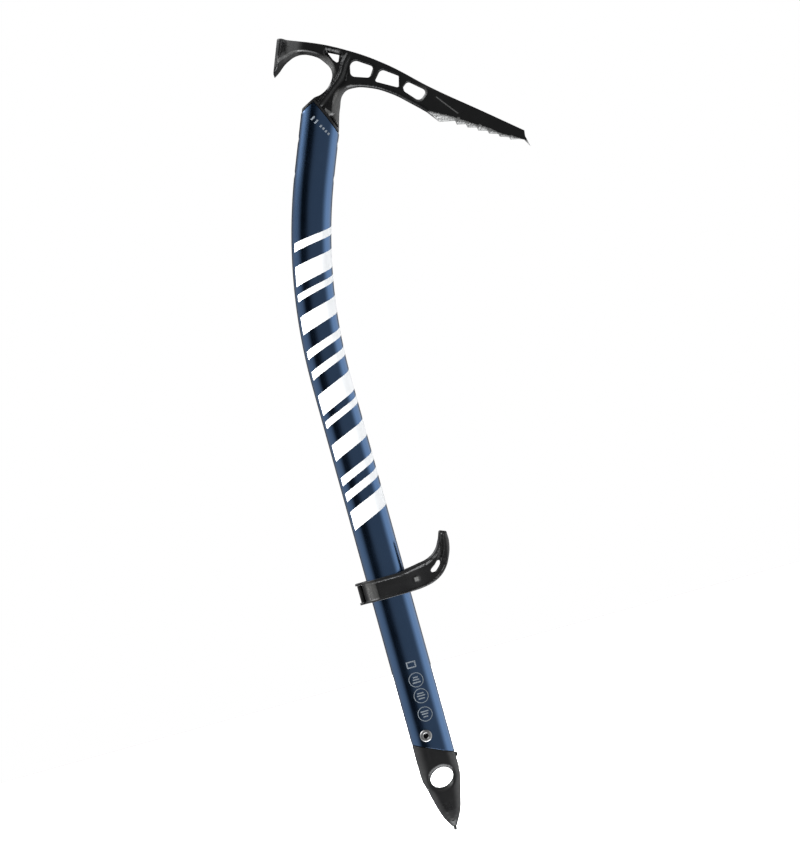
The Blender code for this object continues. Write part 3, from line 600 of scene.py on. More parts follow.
def make_head():
    side, along = upper_coordinates(SHOULDER)
    sides = np.linspace(TANG_SIDES[0] + 0.05, TANG_SIDES[1] - 0.05, 20)
    creases = [upper_place(sides, np.interp(sides, side, along) - low) for low in (0.0, 0.04)]
    head = relief("head_forging_look", [drawn(head_outline()), *map(drawn, head_holes())], head_half, 0.6,
                  (0.06, 0.2, 0.45, 0.8, 1.3, 1.9, 2.4, 3.0, 3.5, 4.1), creases=creases, sharp=58,
                  guides=head_guides(), ease=5, crisp=ARCH_LINE)
    # Bare steel on the teeth, plus the same bare steel painted on as highlights; the material mixes it in by
    # this attribute.
    ground_and_painted_highlight = head.data.attributes.new("ground_and_painted_highlight", "FLOAT", "POINT")
    x, z = np.array([(v.co.x / MM, v.co.z / MM - POINT) for v in head.data.vertices]).T
    places = np.column_stack([x, z])
    drop = np.interp(x, GROUND_LINE[:, 0], GROUND_LINE[:, 1]) - z
    side = upper_coordinates(places)[0]
    bare = ramp(0.05, 0.12, drop) * ramp(121.0, 123.0, x)
    # Painted highlights, as bare steel where facets and edges catch light: the neck's flank, the adze's flare,
    # the heel facet, a line and a crescent by the arch, the step line and a hole's rim.
    flank = 0.36 * ramp(6.2, 5.0, line_distance(places, NECK_FLANK))
    flank = flank * ramp(3.0, 5.5, side) * ramp(551, 545, z)
    flare = 0.2 * ramp(-31.2, -30.4, side) * ramp(-18.0, -24.0, side) * ramp(576, 588, z)
    heel_highlight = 0.4 * inside(places, [HEEL_FACET])
    rim = np.zeros(len(x), np.float32)
    head.data.attributes["rim"].data.foreach_get("value", rim)
    by_arch = line_distance(places, ARCH_LINE) < 4.2
    arch_line_highlight = 0.9 * ramp(2.3, 2.5, rim) * ramp(3.9, 3.4, rim) * by_arch * ramp(48, 40, x)
    arch_crescent_highlight = 0.65 * by_arch * ramp(3.4, 2.6, rim) * spot(places, 59.5, 569, 4.5)
    step = 0.35 * ramp(0.6, 0.25, line_distance(places, STEP_LINE))
    hole_rim_highlight = 0.4 * spot(places, 121.5, 528.5, 3.2) * ramp(1.9, 1.4, rim)
    shares = [bare, flank, flare, heel_highlight, arch_line_highlight, arch_crescent_highlight, step, hole_rim_highlight]
    ground_and_painted_highlight.data.foreach_set("value", np.max(shares, axis=0))
    return head


# ------------------------------------------------------------------ shaft

FRONT_CROWN = 45.0
FRONT_TURN = math.radians(9)
SIDE_TURN = math.radians(78)
LIP = 0.45
HEAD_PINS = [("head_pin_upper", 22.0), ("head_pin_lower", -4.0)]
HEAD_PIN_BORE = 2.8
RIVET_X = -2.7
RIVET_Z = 72.3
RIVET_BORE = 2.9
PRINT_ABOVE = 0.04
PRINT_BELOW = 0.05


def shaft_section():
    """A quarter of the tube's section as (radius, turn from, turn to): front, corner, side."""
    front = FRONT_CROWN * np.array([math.sin(FRONT_TURN), 1 - math.cos(FRONT_TURN)])
    corner = np.array([math.sin(SIDE_TURN) - math.sin(FRONT_TURN),
                       math.cos(FRONT_TURN) - math.cos(SIDE_TURN)])
    flank = np.array([1 - math.sin(SIDE_TURN), math.cos(SIDE_TURN)])
    radii = np.linalg.solve(np.column_stack([corner, flank]), (TUBE_HALF_X, TUBE_HALF_Y) - front)
    return [(FRONT_CROWN, 0, FRONT_TURN), (radii[0], FRONT_TURN, SIDE_TURN),
            (radii[1], SIDE_TURN, math.pi / 2)]


SECTION = shaft_section()
QUARTER = sum(radius * (b - a) for radius, a, b in SECTION)


def section_points(around, inset=0.0):
    """Places (across, y) on the section at distances round it from the middle of its front, inset inwards."""
    around = np.asarray(around, float)
    turn_side = np.sign(around)
    reach = np.abs(around)
    past = reach > QUARTER
    reach = np.where(past, 2 * QUARTER - reach, reach)
    x = np.zeros_like(reach)
    y = np.full_like(reach, -TUBE_HALF_Y)
    turn = np.zeros_like(reach)
    for radius, a, b in SECTION:
        here = np.clip(reach / radius, 0, b - a)
        x += radius * (np.sin(a + here) - np.sin(a))
        y += radius * (np.cos(a) - np.cos(a + here))
        turn += here
        reach = reach - here * radius
    x -= inset * np.sin(turn)
    y += inset * np.cos(turn)
    return turn_side * x, np.where(past, -y, y)


def along_shaft(side, y, along):
    """Places, in X, Y and outline height, of points given across the shaft and along its middle line."""
    angle = np.clip((along - BEND_START) / BEND_RADIUS, 0, BEND_ANGLE)
    x = BEND_RADIUS * (1 - np.cos(angle))
    z = np.minimum(along, BEND_START) + BEND_RADIUS * np.sin(angle)
    beyond = np.maximum(along - BEND_START - BEND_LENGTH, 0)
    x = x + beyond * np.sin(angle) + side * np.cos(angle)
    z = z + beyond * np.cos(angle) - side * np.sin(angle)
    return np.stack([x, y + 0 * x, z], -1)


def cut_along(side, line):
    """How far along the shaft its lines at these places across it meet a cut drawn in the outline's plane."""
    line = np.asarray(line)
    if line[:, 1].mean() < BEND_START:
        return np.interp(side, line[:, 0], line[:, 1])
    cut_side, cut_height = upper_coordinates(line)
    return np.interp(side, cut_side, cut_height) + BEND_START + BEND_LENGTH


def make_shaft():
    """Drawn tube, open and hollow at both oblique ends, with small bevels where it was cut."""
    around = (np.linspace(0, 4, 176, endpoint=False) - 2) * QUARTER
    shares = np.unique(np.concatenate([np.linspace(0, 1, 220), np.linspace(0.012, 0.045, 34),
                                       np.linspace(0.905, 0.985, 72)]))
    side, y = section_points(around)
    low, top = cut_along(side, TUBE_FOOT_CUT), cut_along(side, TUBE_TOP_CUT)
    lip_side, lip_y = section_points(around, LIP)
    inner_side, inner_y = section_points(around, TUBE_WALL)
    inner_low, inner_top = cut_along(inner_side, TUBE_FOOT_CUT), cut_along(inner_side, TUBE_TOP_CUT)
    rings = [(lip_side, lip_y, cut_along(lip_side, TUBE_FOOT_CUT))]
    rings += [(side, y, low + LIP + (top - low - 2 * LIP) * share) for share in shares]
    rings.append((lip_side, lip_y, cut_along(lip_side, TUBE_TOP_CUT)))
    rings += [(inner_side, inner_y, inner_low + (inner_top - inner_low) * share)
              for share in np.linspace(1, 0, 60)]
    count = len(around)
    bare = np.ones((len(rings), count))
    bare[1:1 + len(shares)] = 0
    tube = new_piece("shaft_tube_look", np.vstack([along_shaft(*ring) for ring in rings]),
                     quads(len(rings), count, back=True), side_frame(), 35, {"bare": bare.ravel()})
    wrap = tube.data.uv_layers.new(name="wrap")
    full = 4 * QUARTER
    lengths = np.concatenate([ring[2] for ring in rings])
    index = np.array([loop.vertex_index for loop in tube.data.loops]).reshape(-1, 4)
    wide = around[index % count]
    wide = np.where((np.ptp(wide, axis=1)[:, None] > full / 2) & (wide < 0), wide + full, wide)
    wrap.data.foreach_set("uv", np.stack([wide, lengths[index]], -1).ravel() * MM)
    holes = [drill(RIVET_BORE, 30, across(RIVET_X, RIVET_Z))]
    holes += [drill(HEAD_PIN_BORE, 30, upper_through(along)) for _, along in HEAD_PINS]
    return cut(tube, holes)


def upper_through(along):
    """Frame, in millimetres, whose local Z runs through the upper shaft from its back edge to its front."""
    x, z = upper_place(0.0, along)
    return side_frame() @ Matrix.Translation((x, 0, z)) @ Matrix.Rotation(math.pi / 2 + BEND_ANGLE, 4, "Y")


def printed(name, loops, step=1.0):
    """Thin painted film on the tube, from outlines in distances round it and along it."""
    loops = [even(np.asarray(loop, float), step) for loop in loops]
    rim = np.vstack(loops)
    low, high = rim.min(0), rim.max(0)
    grid = np.stack(np.meshgrid(np.arange(low[0], high[0], step), np.arange(low[1], high[1], step)), -1)
    grid = grid.reshape(-1, 2)
    grid = grid[inside(grid, loops)]
    grid = grid[np.min([loop_distance(grid, loop) for loop in loops], axis=0) > 0.4 * step]
    placed, triangles, rim_edges = filled(loops, np.vstack([rim, grid]))
    layers = []
    for inset in (-PRINT_ABOVE, PRINT_BELOW):
        side, y = section_points(placed[:, 0], inset)
        layers.append(along_shaft(side, y, placed[:, 1]))
    vertices, faces = two_sided(*layers, triangles, rim_edges)
    return new_piece(name, vertices, faces, side_frame(), 35)


BAND_LEFT = -13.3
BAND_RIGHT = 24.0
BAND_SLANT = 0.42
BANDS = [(232.0, 14.0), (254.0, 6.0), (266.0, 6.0), (285.0, 12.0), (310.0, 5.0), (320.0, 15.0), (347.0, 6.0),
         (362.0, 6.0), (380.0, 13.0), (404.0, 5.0), (415.0, 14.0), (440.0, 6.0)]
TICK_START = np.array([-6.8, 539.1])
TICK_END = np.array([8.2, 527.3])
TICKS = [(0.08, 1.2, 3.6), (0.27, 1.2, 3.6), (0.52, 1.5, 1.8), (0.66, 1.5, 1.8), (0.80, 1.5, 1.8),
         (0.94, 1.5, 1.8)]
RINGS = [(1.3, 114.0), (1.7, 101.7), (1.0, 88.0)]


def ring(u, v, radius, count=48):
    turns = np.arange(count) * 2 * math.pi / count
    return np.column_stack([np.cos(turns), np.sin(turns)]) * radius + (u, v)


def make_prints():
    prints = []
    for number, (low, height) in enumerate(BANDS):
        fall = BAND_SLANT * (BAND_RIGHT - BAND_LEFT)
        band = [(BAND_LEFT, low), (BAND_RIGHT, low + fall), (BAND_RIGHT, low + fall + height),
                (BAND_LEFT, low + height)]
        prints.append(printed("shaft_band_%02d" % (number + 1), [band]))
    for number, (u, v) in enumerate(RINGS):
        prints.append(printed("shaft_ring_%d" % (number + 1), [ring(u, v, 5.5), ring(u, v, 5.0)], 0.5))
        for part, (low, high) in enumerate(((-2.4, -1.5), (-0.3, 0.6), (1.5, 2.4))):
            reach = 3.0 - 0.6 * abs(part - number)
            bar = [(-reach, low), (reach, low), (reach, high), (-reach, high)]
            name = "shaft_ring_bar_%d%d" % (number + 1, part + 1)
            prints.append(printed(name, [np.array(bar) + (u, v)], 0.5))
    frame_loops = [[(-2.8, 123.2), (4.2, 123.2), (4.2, 128.2), (-2.8, 128.2)],
                   [(-1.9, 124.1), (3.3, 124.1), (3.3, 127.3), (-1.9, 127.3)]]
    prints.append(printed("shaft_frame_mark", frame_loops, 0.5))
    run = (TICK_END - TICK_START) / np.linalg.norm(TICK_END - TICK_START)
    rise = np.array([-run[1], run[0]])
    for number, (share, width, height) in enumerate(TICKS):
        middle = TICK_START + share * (TICK_END - TICK_START)
        tick = [middle + a * width / 2 * run + b * height / 2 * rise
                for a, b in ((-1, -1), (1, -1), (1, 1), (-1, 1))]
        prints.append(printed("shaft_tick_%d" % (number + 1), [tick], 0.5))
    return prints


# ------------------------------------------------------------------ ferrule

FERRULE_SECTIONS = np.array([(1.8, 1.9, 1.9, -0.2), (5.0, 3.7, 3.4, -0.2), (8.0, 5.5, 4.6, -0.2),
                             (14.0, 8.0, 6.4, 0.0), (22.0, 10.2, 8.0, 0.0), (32.0, 12.6, 9.2, 0.1),
                             (40.0, 14.5, 9.8, 0.0), (46.0, TUBE_HALF_X, TUBE_HALF_Y, 0.0),
                             (100.0, TUBE_HALF_X, TUBE_HALF_Y, 0.0)])
FERRULE_TOP = offset_line(TUBE_FOOT_CUT, -GAP)
TIP_RADIUS = 1.35
TIP_PIN_Z = 7.0
PLUG_TOP = 100.0
PLUG_INSET = TUBE_WALL + GAP
EYE = np.array([0.3, 39.0])
EYE_HALVES = (8.9, 7.2)
EYE_TILT = math.radians(24)
EYE_FLARE = 2.3
FERRULE_RIDGE = np.array([(-9.5, 34.0), (-8.0, 30.0), (-4.6, 19.0), (-1.0, 8.0), (0.0, 2.0)])


def section_depth(share):
    """Half depth of the tube's section, as a share of its most, at a share of its half width."""
    side, y = section_points(np.linspace(0, QUARTER, 80))
    return np.interp(share, side / TUBE_HALF_X, -y / TUBE_HALF_Y)


def ferrule_half(p, near):
    """Half thickness of the ferrule: body with a ridge, flared eye, and the plug that fills the tube."""
    x, z = p.T
    half_x, half_y, centre = (np.interp(z, FERRULE_SECTIONS[:, 0], FERRULE_SECTIONS[:, k]) for k in (1, 2, 3))
    half = np.maximum(half_y * section_depth(np.clip(np.abs(x - centre) / half_x, 0, 1)), 0.35)
    ridge = np.interp(z, FERRULE_RIDGE[::-1, 1], FERRULE_RIDGE[::-1, 0])
    facets = ramp(40, 30, z) * ramp(2, 8, z)
    half = half - facets * np.where(x < ridge, 0.16 * (ridge - x), 0.06 * (x - ridge))
    crease = ramp(0.0, 1.6, x + 5.5) * ramp(46, 50, z)
    half = half - 0.25 * crease * ramp(11, 6, x)
    flare = half - EYE_FLARE + near[1] * 0.95
    half = smaller(half, np.maximum(flare, 1.0), 0.5)
    half = rounded(half, near[0], np.where(z < 40, 1.2, 0.6))
    on_nub = ramp(13.9, 14.9, x) * ramp(50.6, 51.4, z) * ramp(54.6, 53.9, z)
    half = larger(half, 2.9 * on_nub - 0.9 * ramp(0.7, 0.0, near[0]), 0.2)
    plug = section_depth(np.clip(np.abs(x) / (TUBE_HALF_X - PLUG_INSET), 0, 1)) * (TUBE_HALF_Y - PLUG_INSET)
    in_tube = z > np.interp(x, *FERRULE_TOP.T) + 0.01
    return np.maximum(np.where(in_tube, plug, half), 0.3)


def make_ferrule():
    widths = FERRULE_SECTIONS[FERRULE_SECTIONS[:, 0] < 47]
    left = [(c - w, z, SMOOTH) for z, w, _, c in widths]
    right = [(c + w, z, SMOOTH) for z, w, _, c in widths][::-1]
    plug = TUBE_HALF_X - PLUG_INSET
    left[0] = left[0][:2]
    right[-1] = right[-1][:2]
    top_left, plug_left, plug_right, top_right = (
        (x, float(np.interp(x, *FERRULE_TOP.T))) for x in (-TUBE_HALF_X, -plug, plug, TUBE_HALF_X))
    nub = [(16.2, 53.9), (16.4, 53.0, SMOOTH), (15.4, 51.2, SMOOTH), (TUBE_HALF_X, 51.0)]
    outline = left + [top_left, plug_left, (-plug, PLUG_TOP), (plug, PLUG_TOP), plug_right, top_right]
    outline += nub + right
    turns = np.arange(64) * 2 * math.pi / 64
    cosine, sine = math.cos(EYE_TILT), math.sin(EYE_TILT)
    oval = np.column_stack([EYE_HALVES[0] * np.cos(turns), EYE_HALVES[1] * np.sin(turns)])
    eye = EYE + oval @ np.array([[cosine, sine], [-sine, cosine]])
    sides = np.linspace(-plug + 0.05, plug - 0.05, 40)
    heights = np.interp(sides, *FERRULE_TOP.T)
    creases = [np.column_stack([sides, heights + lift]) for lift in (0.0, 0.05)]
    guides = [spaced(FERRULE_RIDGE, 0.5), spaced([(-5.5, 47.0), (-5.5, 66.0)], 0.6),
              spaced([(-3.9, 47.0), (-3.9, 66.0)], 0.6)]
    ferrule = relief("ferrule_look", [drawn(outline), eye], ferrule_half, 0.7,
                     (0.06, 0.2, 0.45, 0.85, 1.4, 2.1, 2.9), creases=creases, sharp=40, guides=guides)
    socket = Matrix.Scale(MM, 4) @ Matrix.Translation((0, 0, POINT + 4.0))
    reach = TIP_RADIUS + GAP
    return cut(ferrule, [drill(reach, 8, socket), drill(0.85, 15, across(0, TIP_PIN_Z))])


# ------------------------------------------------------------------ hand rest

REST_LOW = 177.6
REST_HIGH = 193.6
LINER = 1.0
ROOM = GAP + LINER + GAP
COLLAR = 2.5
LIP_REACH = 23.5
LEVER_PIN = (-20.8, -4.0)
LEVER_HALF = 1.6
LEVER_PIN_RADIUS = 0.8
WINDOW_HALF_Y = 6.6
STUD = (21.7, 185.5)
PLAN = Matrix.Rotation(-math.pi / 2, 4, "X")
REST_TOP_EDGE = [(10.0, REST_HIGH), (25.0, 196.0, SMOOTH), (33.5, 197.9, SMOOTH), (39.6, 201.9, SMOOTH),
                 (44.2, 209.0, SMOOTH), (46.8, 215.6, 1.2)]
REST_LOW_EDGE = [(52.3, 213.6, 1.2), (52.1, 205.5, SMOOTH), (48.9, 195.0, SMOOTH), (43.4, 186.3, SMOOTH),
                 (36.0, 181.0, SMOOTH), (26.0, 178.3, SMOOTH), (12.0, REST_LOW)]
REST_GROOVE = [(41.3, 194.5), (44.5, 199.5, SMOOTH), (46.6, 205.0, SMOOTH), (48.2, 212.5)]
REST_NOTCH = [(43.9, 193.2), (45.0, 193.8), (46.0, 197.4), (45.0, 197.2)]
REST_SLOT = [(33.4, 187.6, SMOOTH), (35.6, 186.8, SMOOTH), (38.6, 188.6, SMOOTH), (41.6, 193.6, SMOOTH),
             (41.0, 194.6, SMOOTH), (37.4, 192.2, SMOOTH)]
REST_TOP_LINE = drawn([(-LIP_REACH, REST_HIGH), *REST_TOP_EDGE[:-1], REST_TOP_EDGE[-1][:2]], cyclic=False)
REST_LOW_LINE = drawn([REST_LOW_EDGE[0][:2], *REST_LOW_EDGE[1:], (-LIP_REACH, REST_LOW)], cyclic=False)
REST_GROOVE_LINE = drawn(REST_GROOVE, cyclic=False)
REST_NOTCH_LOOP = drawn(REST_NOTCH)


def section_half(x, half_x, half_y, corner):
    """Half thickness, at x, of a section that is a rectangle with round corners."""
    over = np.clip(np.abs(x) - (half_x - corner), 0, corner)
    return half_y - corner + np.sqrt(np.maximum(corner * corner - over * over, 0))


def rest_half(p, near):
    """Half thickness of the hand rest: collar, lips, sunk panels, and the hook with its groove and notch."""
    x, z = p.T
    grow = ROOM + COLLAR
    collar = section_half(np.minimum(x, 0), TUBE_HALF_X + grow, TUBE_HALF_Y + grow, 11.9)
    lips = np.interp(x, [-LIP_REACH, -LIP_REACH + 2, -10], [5.5, 7.5, 9])
    half = np.where(x < -5, larger(collar, lips, 0.6), collar)
    half = half - 4.6 * ramp(4, 38, x) - 1.0 * ramp(36, 60, x)
    from_top = line_distance(p, REST_TOP_LINE)
    from_low = line_distance(p, REST_LOW_LINE)
    panel = ramp(2.1, 2.85, from_top) * ramp(1.2, 1.95, from_low) * ramp(-18.5, -17.5, x)
    half = half - panel * (0.7 + 1.1 * ramp(12, 30, x)) * ramp(52, 42, x + (z - 195) * 0.2)
    half = half - 1.3 * ramp(1.1, 0.7, line_distance(p, REST_GROOVE_LINE))
    notch = np.where(inside(p, [REST_NOTCH_LOOP]), loop_distance(p, REST_NOTCH_LOOP), 0)
    half = half - 1.6 * ramp(0.0, 0.4, notch)
    stud = np.hypot(x - STUD[0], z - STUD[1])
    half = half + 0.45 * ramp(2.7, 2.3, stud) - 0.2 * ramp(1.5, 1.1, stud)
    hook = ramp(12, 26, x)
    outer = (from_low < from_top) & (x > 12)
    edge = np.where(outer, 0.45 + 2.9 * hook, 0.45 + 1.5 * hook)
    half = rounded(half, near[0], edge)
    return np.maximum(rounded(half, near[1], 0.8), 0.5)


def column(name, rings):
    """Closed upright solid through outlines (x, y) at heights above the ferrule's end."""
    count = len(rings[0][1])
    vertices = [(x, y, z) for z, outline in rings for x, y in outline]
    ends = [list(range(count))[::-1], list(range(len(vertices) - count, len(vertices)))]
    return new_piece(name, vertices, ends + quads(len(rings), count), side_frame())


def make_hand_rest():
    outline = [(-LIP_REACH, REST_HIGH, 0.5), *REST_TOP_EDGE, *REST_LOW_EDGE, (-LIP_REACH, REST_LOW, 0.5),
               (-LIP_REACH, REST_LOW + 1.5, 0.4), (-18.6, REST_LOW + 1.5), (-18.6, REST_HIGH - 1.5),
               (-LIP_REACH, REST_HIGH - 1.5, 0.4)]
    guides = []
    for line, aways in ((REST_TOP_LINE, (-2.1, -2.35, -2.6, -2.85)),
                        (REST_LOW_LINE, (-1.2, -1.45, -1.7, -1.95)),
                        (REST_GROOVE_LINE, (-1.1, -0.7, 0.0, 0.7, 1.1))):
        guides += [spaced(offset_line(line, away), 0.4) for away in aways]
    guides += [closed(ring(*STUD, radius, 24)) for radius in (1.1, 1.5, 2.3, 2.7)]
    notch = even(REST_NOTCH_LOOP, 0.4)
    guides += [closed(notch), closed(notch.mean(0) + (notch - notch.mean(0)) * 0.55)]
    rest = relief("hand_rest_look", [drawn(outline), drawn(REST_SLOT)], rest_half, 0.75,
                  (0.06, 0.2, 0.45, 0.85, 1.4, 2.1, 2.9), sharp=40, guides=guides)
    around = (np.linspace(0, 4, 160, endpoint=False) - 2) * QUARTER
    rings = []
    for height, grow in ((REST_LOW - 20, 0.5), (REST_LOW, 0.5), (REST_LOW + 0.5, 0), (REST_HIGH - 0.5, 0),
                         (REST_HIGH, 0.5), (REST_HIGH + 20, 0.5)):
        rings.append((height, list(zip(*section_points(around, -ROOM - grow)))))
    window = [(-30, -WINDOW_HALF_Y), (-10, -WINDOW_HALF_Y), (-10, WINDOW_HALF_Y), (-30, WINDOW_HALF_Y)]
    cutters = [column("collar_bore", rings),
               column("shoe_window", [(REST_LOW + 2.9, window), (REST_HIGH - 2.9, window)]),
               drill(0.95, 40, lever_place(), 24)]
    return cut(rest, cutters)


def lever_place():
    """Frame, in millimetres, of the lever's pin, halfway up the hand rest."""
    return side_frame() @ Matrix.Translation((*LEVER_PIN, (REST_LOW + REST_HIGH) / 2))


def lever_half(p, near):
    return rounded(np.full(len(p), (REST_HIGH - REST_LOW) / 2 - 1.8), near[0], 0.55)


def make_lever():
    """Cam lever with a scalloped grip and the lobe that pushes the shoe."""
    shoe_back = -TUBE_HALF_X - ROOM - COLLAR + 0.8
    lobe = shoe_back - GAP - LEVER_PIN[0]
    outline = []
    for step in range(1, 24):
        angle = math.radians(-180 + 7.5 * step)
        reach = LEVER_HALF + (lobe - LEVER_HALF) * max(0.0, math.cos(angle)) ** 6
        outline.append((reach * math.cos(angle), reach * math.sin(angle)))
    outline += [(lobe, 0.0), (lobe - 0.25, 0.8), (LEVER_HALF, 1.4), (LEVER_HALF, 15.0), (1.2, 17.0),
                (0.2, 17.6), (-LEVER_HALF, 17.2)]
    for scallop in range(8):
        y = 15.6 - 1.7 * scallop
        outline += [(-LEVER_HALF, y), (-LEVER_HALF + 0.4, y - 0.55), (-LEVER_HALF, y - 1.1)]
    outline.append((-LEVER_HALF, 0.0))
    lever = relief("lock_lever_look", [np.array(outline)], lever_half, 0.5, (0.06, 0.2, 0.5),
                   matrix=lever_place() @ PLAN, sharp=40)
    return cut(lever, [drill(LEVER_PIN_RADIUS + 0.1, 40, lever_place(), 24)])


# ------------------------------------------------------------------ turned pieces

def bevelled(radius, half, bevel=0.25):
    """Profile of a plain pin with bevelled ends, from top to bottom."""
    return [(0.0, half), (radius - bevel, half), (radius, half - bevel), (radius, bevel - half),
            (radius - bevel, -half), (0.0, -half)]


def make_turned():
    pieces = []
    for name, along in HEAD_PINS:
        pin = lathe(name + "_look", bevelled(2.5, TUBE_HALF_X - 0.3), upper_through(along))
        pieces.append((pin, "axe", name, "bright_steel"))
    near = TUBE_HALF_Y + GAP
    far = near + 0.6 + GAP
    rivet = [(0.0, far + 0.8), (3.2, far + 0.8), (3.9, far + 0.62), (4.35, far + 0.3), (4.5, far), (2.6, far),
             (2.6, -near), (4.5, -near), (4.5, -near - 0.12), (4.3, -near - 0.42), (3.8, -near - 0.7),
             (3.2, -near - 0.8), (2.35, -near - 0.8), (2.05, -near - 0.6), (2.0, -near + 3.6),
             (1.4, -near + 4.0), (0.0, -near + 4.0)]
    rivet = lathe("ferrule_rivet_look", rivet, across(RIVET_X, RIVET_Z), 72, 30)
    pieces.append((rivet, "axe", "ferrule_rivet", "bright_steel"))
    washer = [(2.9, near + 0.6), (4.85, near + 0.6), (5.0, near + 0.45), (5.0, near), (2.9, near)]
    washer = lathe("ferrule_rivet_washer_look", washer, across(RIVET_X, RIVET_Z), 72, 30)
    pieces.append((washer, "axe", "ferrule_rivet_washer", "bright_steel"))
    tip = [(0.0, 11.5 + POINT), (TIP_RADIUS, 11.5 + POINT), (TIP_RADIUS, 1.5), (1.25, 1.05), (0.95, 0.6),
           (0.55, 0.2), (0.2, 0.02), (0.0, 0.0)]
    tip = lathe("spike_tip_look", tip, Matrix.Scale(MM, 4), 48, 35)
    pieces.append((tip, "axe", "spike_tip", "black_steel"))
    pin = lathe("spike_tip_pin_look", bevelled(0.55, 3.75, 0.12), across(0, TIP_PIN_Z), 32)
    pieces.append((pin, "axe", "spike_tip_pin", "bright_steel"))
    half = (REST_HIGH - REST_LOW) / 2 - 0.15
    pin = lathe("lever_pin_look", bevelled(LEVER_PIN_RADIUS, half), lever_place(), 32)
    pieces.append((pin, "hand_rest", "lever_pin", "bright_steel"))
    return pieces


# ------------------------------------------------------------------ materials

class Finish:
    """A Principled material, with short calls for the nodes that vary it over the surface."""

    def __init__(self, name, colour, roughness, metallic=0.0, specular=0.5):
        self.material = bpy.data.materials.new(name)
        self.material.use_nodes = True
        self.tree = self.material.node_tree
        self.shader = self.tree.nodes["Principled BSDF"]
        self.shader.inputs["Base Color"].default_value = (*colour, 1)
        self.shader.inputs["Roughness"].default_value = roughness
        self.shader.inputs["Metallic"].default_value = metallic
        self.shader.inputs["Specular IOR Level"].default_value = specular
        self.places = self.tree.nodes.new("ShaderNodeTexCoord").outputs["Object"]

    def node(self, kind, **inputs):
        node = self.tree.nodes.new(kind)
        for name, value in inputs.items():
            self.put(value, node.inputs[name.replace("_", " ")])
        return node

    def put(self, value, socket):
        if isinstance(value, bpy.types.NodeSocket):
            self.tree.links.new(value, socket)
        else:
            socket.default_value = value

    def stretched(self, scale, source=None, turn=0.0):
        mapping = self.node("ShaderNodeMapping", Vector=source or self.places, Scale=scale)
        mapping.inputs["Rotation"].default_value = (0, turn, 0)
        return mapping.outputs["Vector"]

    def noise(self, scale, detail=3.0, roughness=0.55, source=None):
        node = self.node("ShaderNodeTexNoise", Vector=source or self.places, Scale=scale, Detail=detail,
                         Roughness=roughness)
        return node.outputs["Fac"]

    def cells(self, scale, source=None):
        node = self.node("ShaderNodeTexVoronoi", Vector=source or self.places, Scale=scale)
        return node.outputs["Distance"]

    def attribute(self, name):
        node = self.tree.nodes.new("ShaderNodeAttribute")
        node.attribute_name = name
        return node.outputs["Fac"]

    def edges(self):
        """1 on round edges between the broad faces and the walls round the outline, 0 on both of those."""
        normal = self.tree.nodes.new("ShaderNodeTexCoord").outputs["Normal"]
        split = self.node("ShaderNodeSeparateXYZ", Vector=normal)
        facing = self.sum(split.outputs["Y"], 0.0, "ABSOLUTE")
        return self.times(self.span(facing, 0.15, 0.4), self.span(facing, 0.93, 0.75))

    def wrap(self):
        node = self.tree.nodes.new("ShaderNodeUVMap")
        node.uv_map = "wrap"
        return node.outputs["UV"]

    def span(self, value, low, high, to_low=0.0, to_high=1.0):
        """Value from low..high to to_low..to_high, held at the ends."""
        node = self.tree.nodes.new("ShaderNodeMapRange")
        for socket, number in zip(node.inputs[:5], (value, low, high, to_low, to_high)):
            self.put(number, socket)
        return node.outputs["Result"]

    def sum(self, first, second, operation="ADD"):
        node = self.tree.nodes.new("ShaderNodeMath")
        node.operation = operation
        self.put(first, node.inputs[0])
        self.put(second, node.inputs[1])
        return node.outputs[0]

    def times(self, first, second):
        return self.sum(first, second, "MULTIPLY")

    def blend(self, share, first, second):
        node = self.tree.nodes.new("ShaderNodeMix")
        node.data_type = "RGBA"
        for socket, value in zip((node.inputs[0], node.inputs[6], node.inputs[7]), (share, first, second)):
            self.put((*value, 1) if isinstance(value, tuple) else value, socket)
        return node.outputs[2]

    def colour(self, value):
        self.put(value, self.shader.inputs["Base Color"])

    def rough(self, value):
        self.put(value, self.shader.inputs["Roughness"])

    def metal(self, value):
        self.put(value, self.shader.inputs["Metallic"])

    def bump(self, height, distance, strength=1.0):
        """Relief of the given height, in millimetres, added to what is there."""
        node = self.node("ShaderNodeBump", Height=height, Strength=strength)
        node.inputs["Distance"].default_value = distance * MM
        if self.shader.inputs["Normal"].is_linked:
            self.put(self.shader.inputs["Normal"].links[0].from_socket, node.inputs["Normal"])
        self.put(node.outputs["Normal"], self.shader.inputs["Normal"])


BLUE = (0.054, 0.113, 0.228)
BLUE_LINE = (0.062, 0.128, 0.252)
BLUE_PALE = (0.085, 0.155, 0.28)
BLACK = (0.0016, 0.0017, 0.0018)
STEEL = (0.74, 0.735, 0.72)


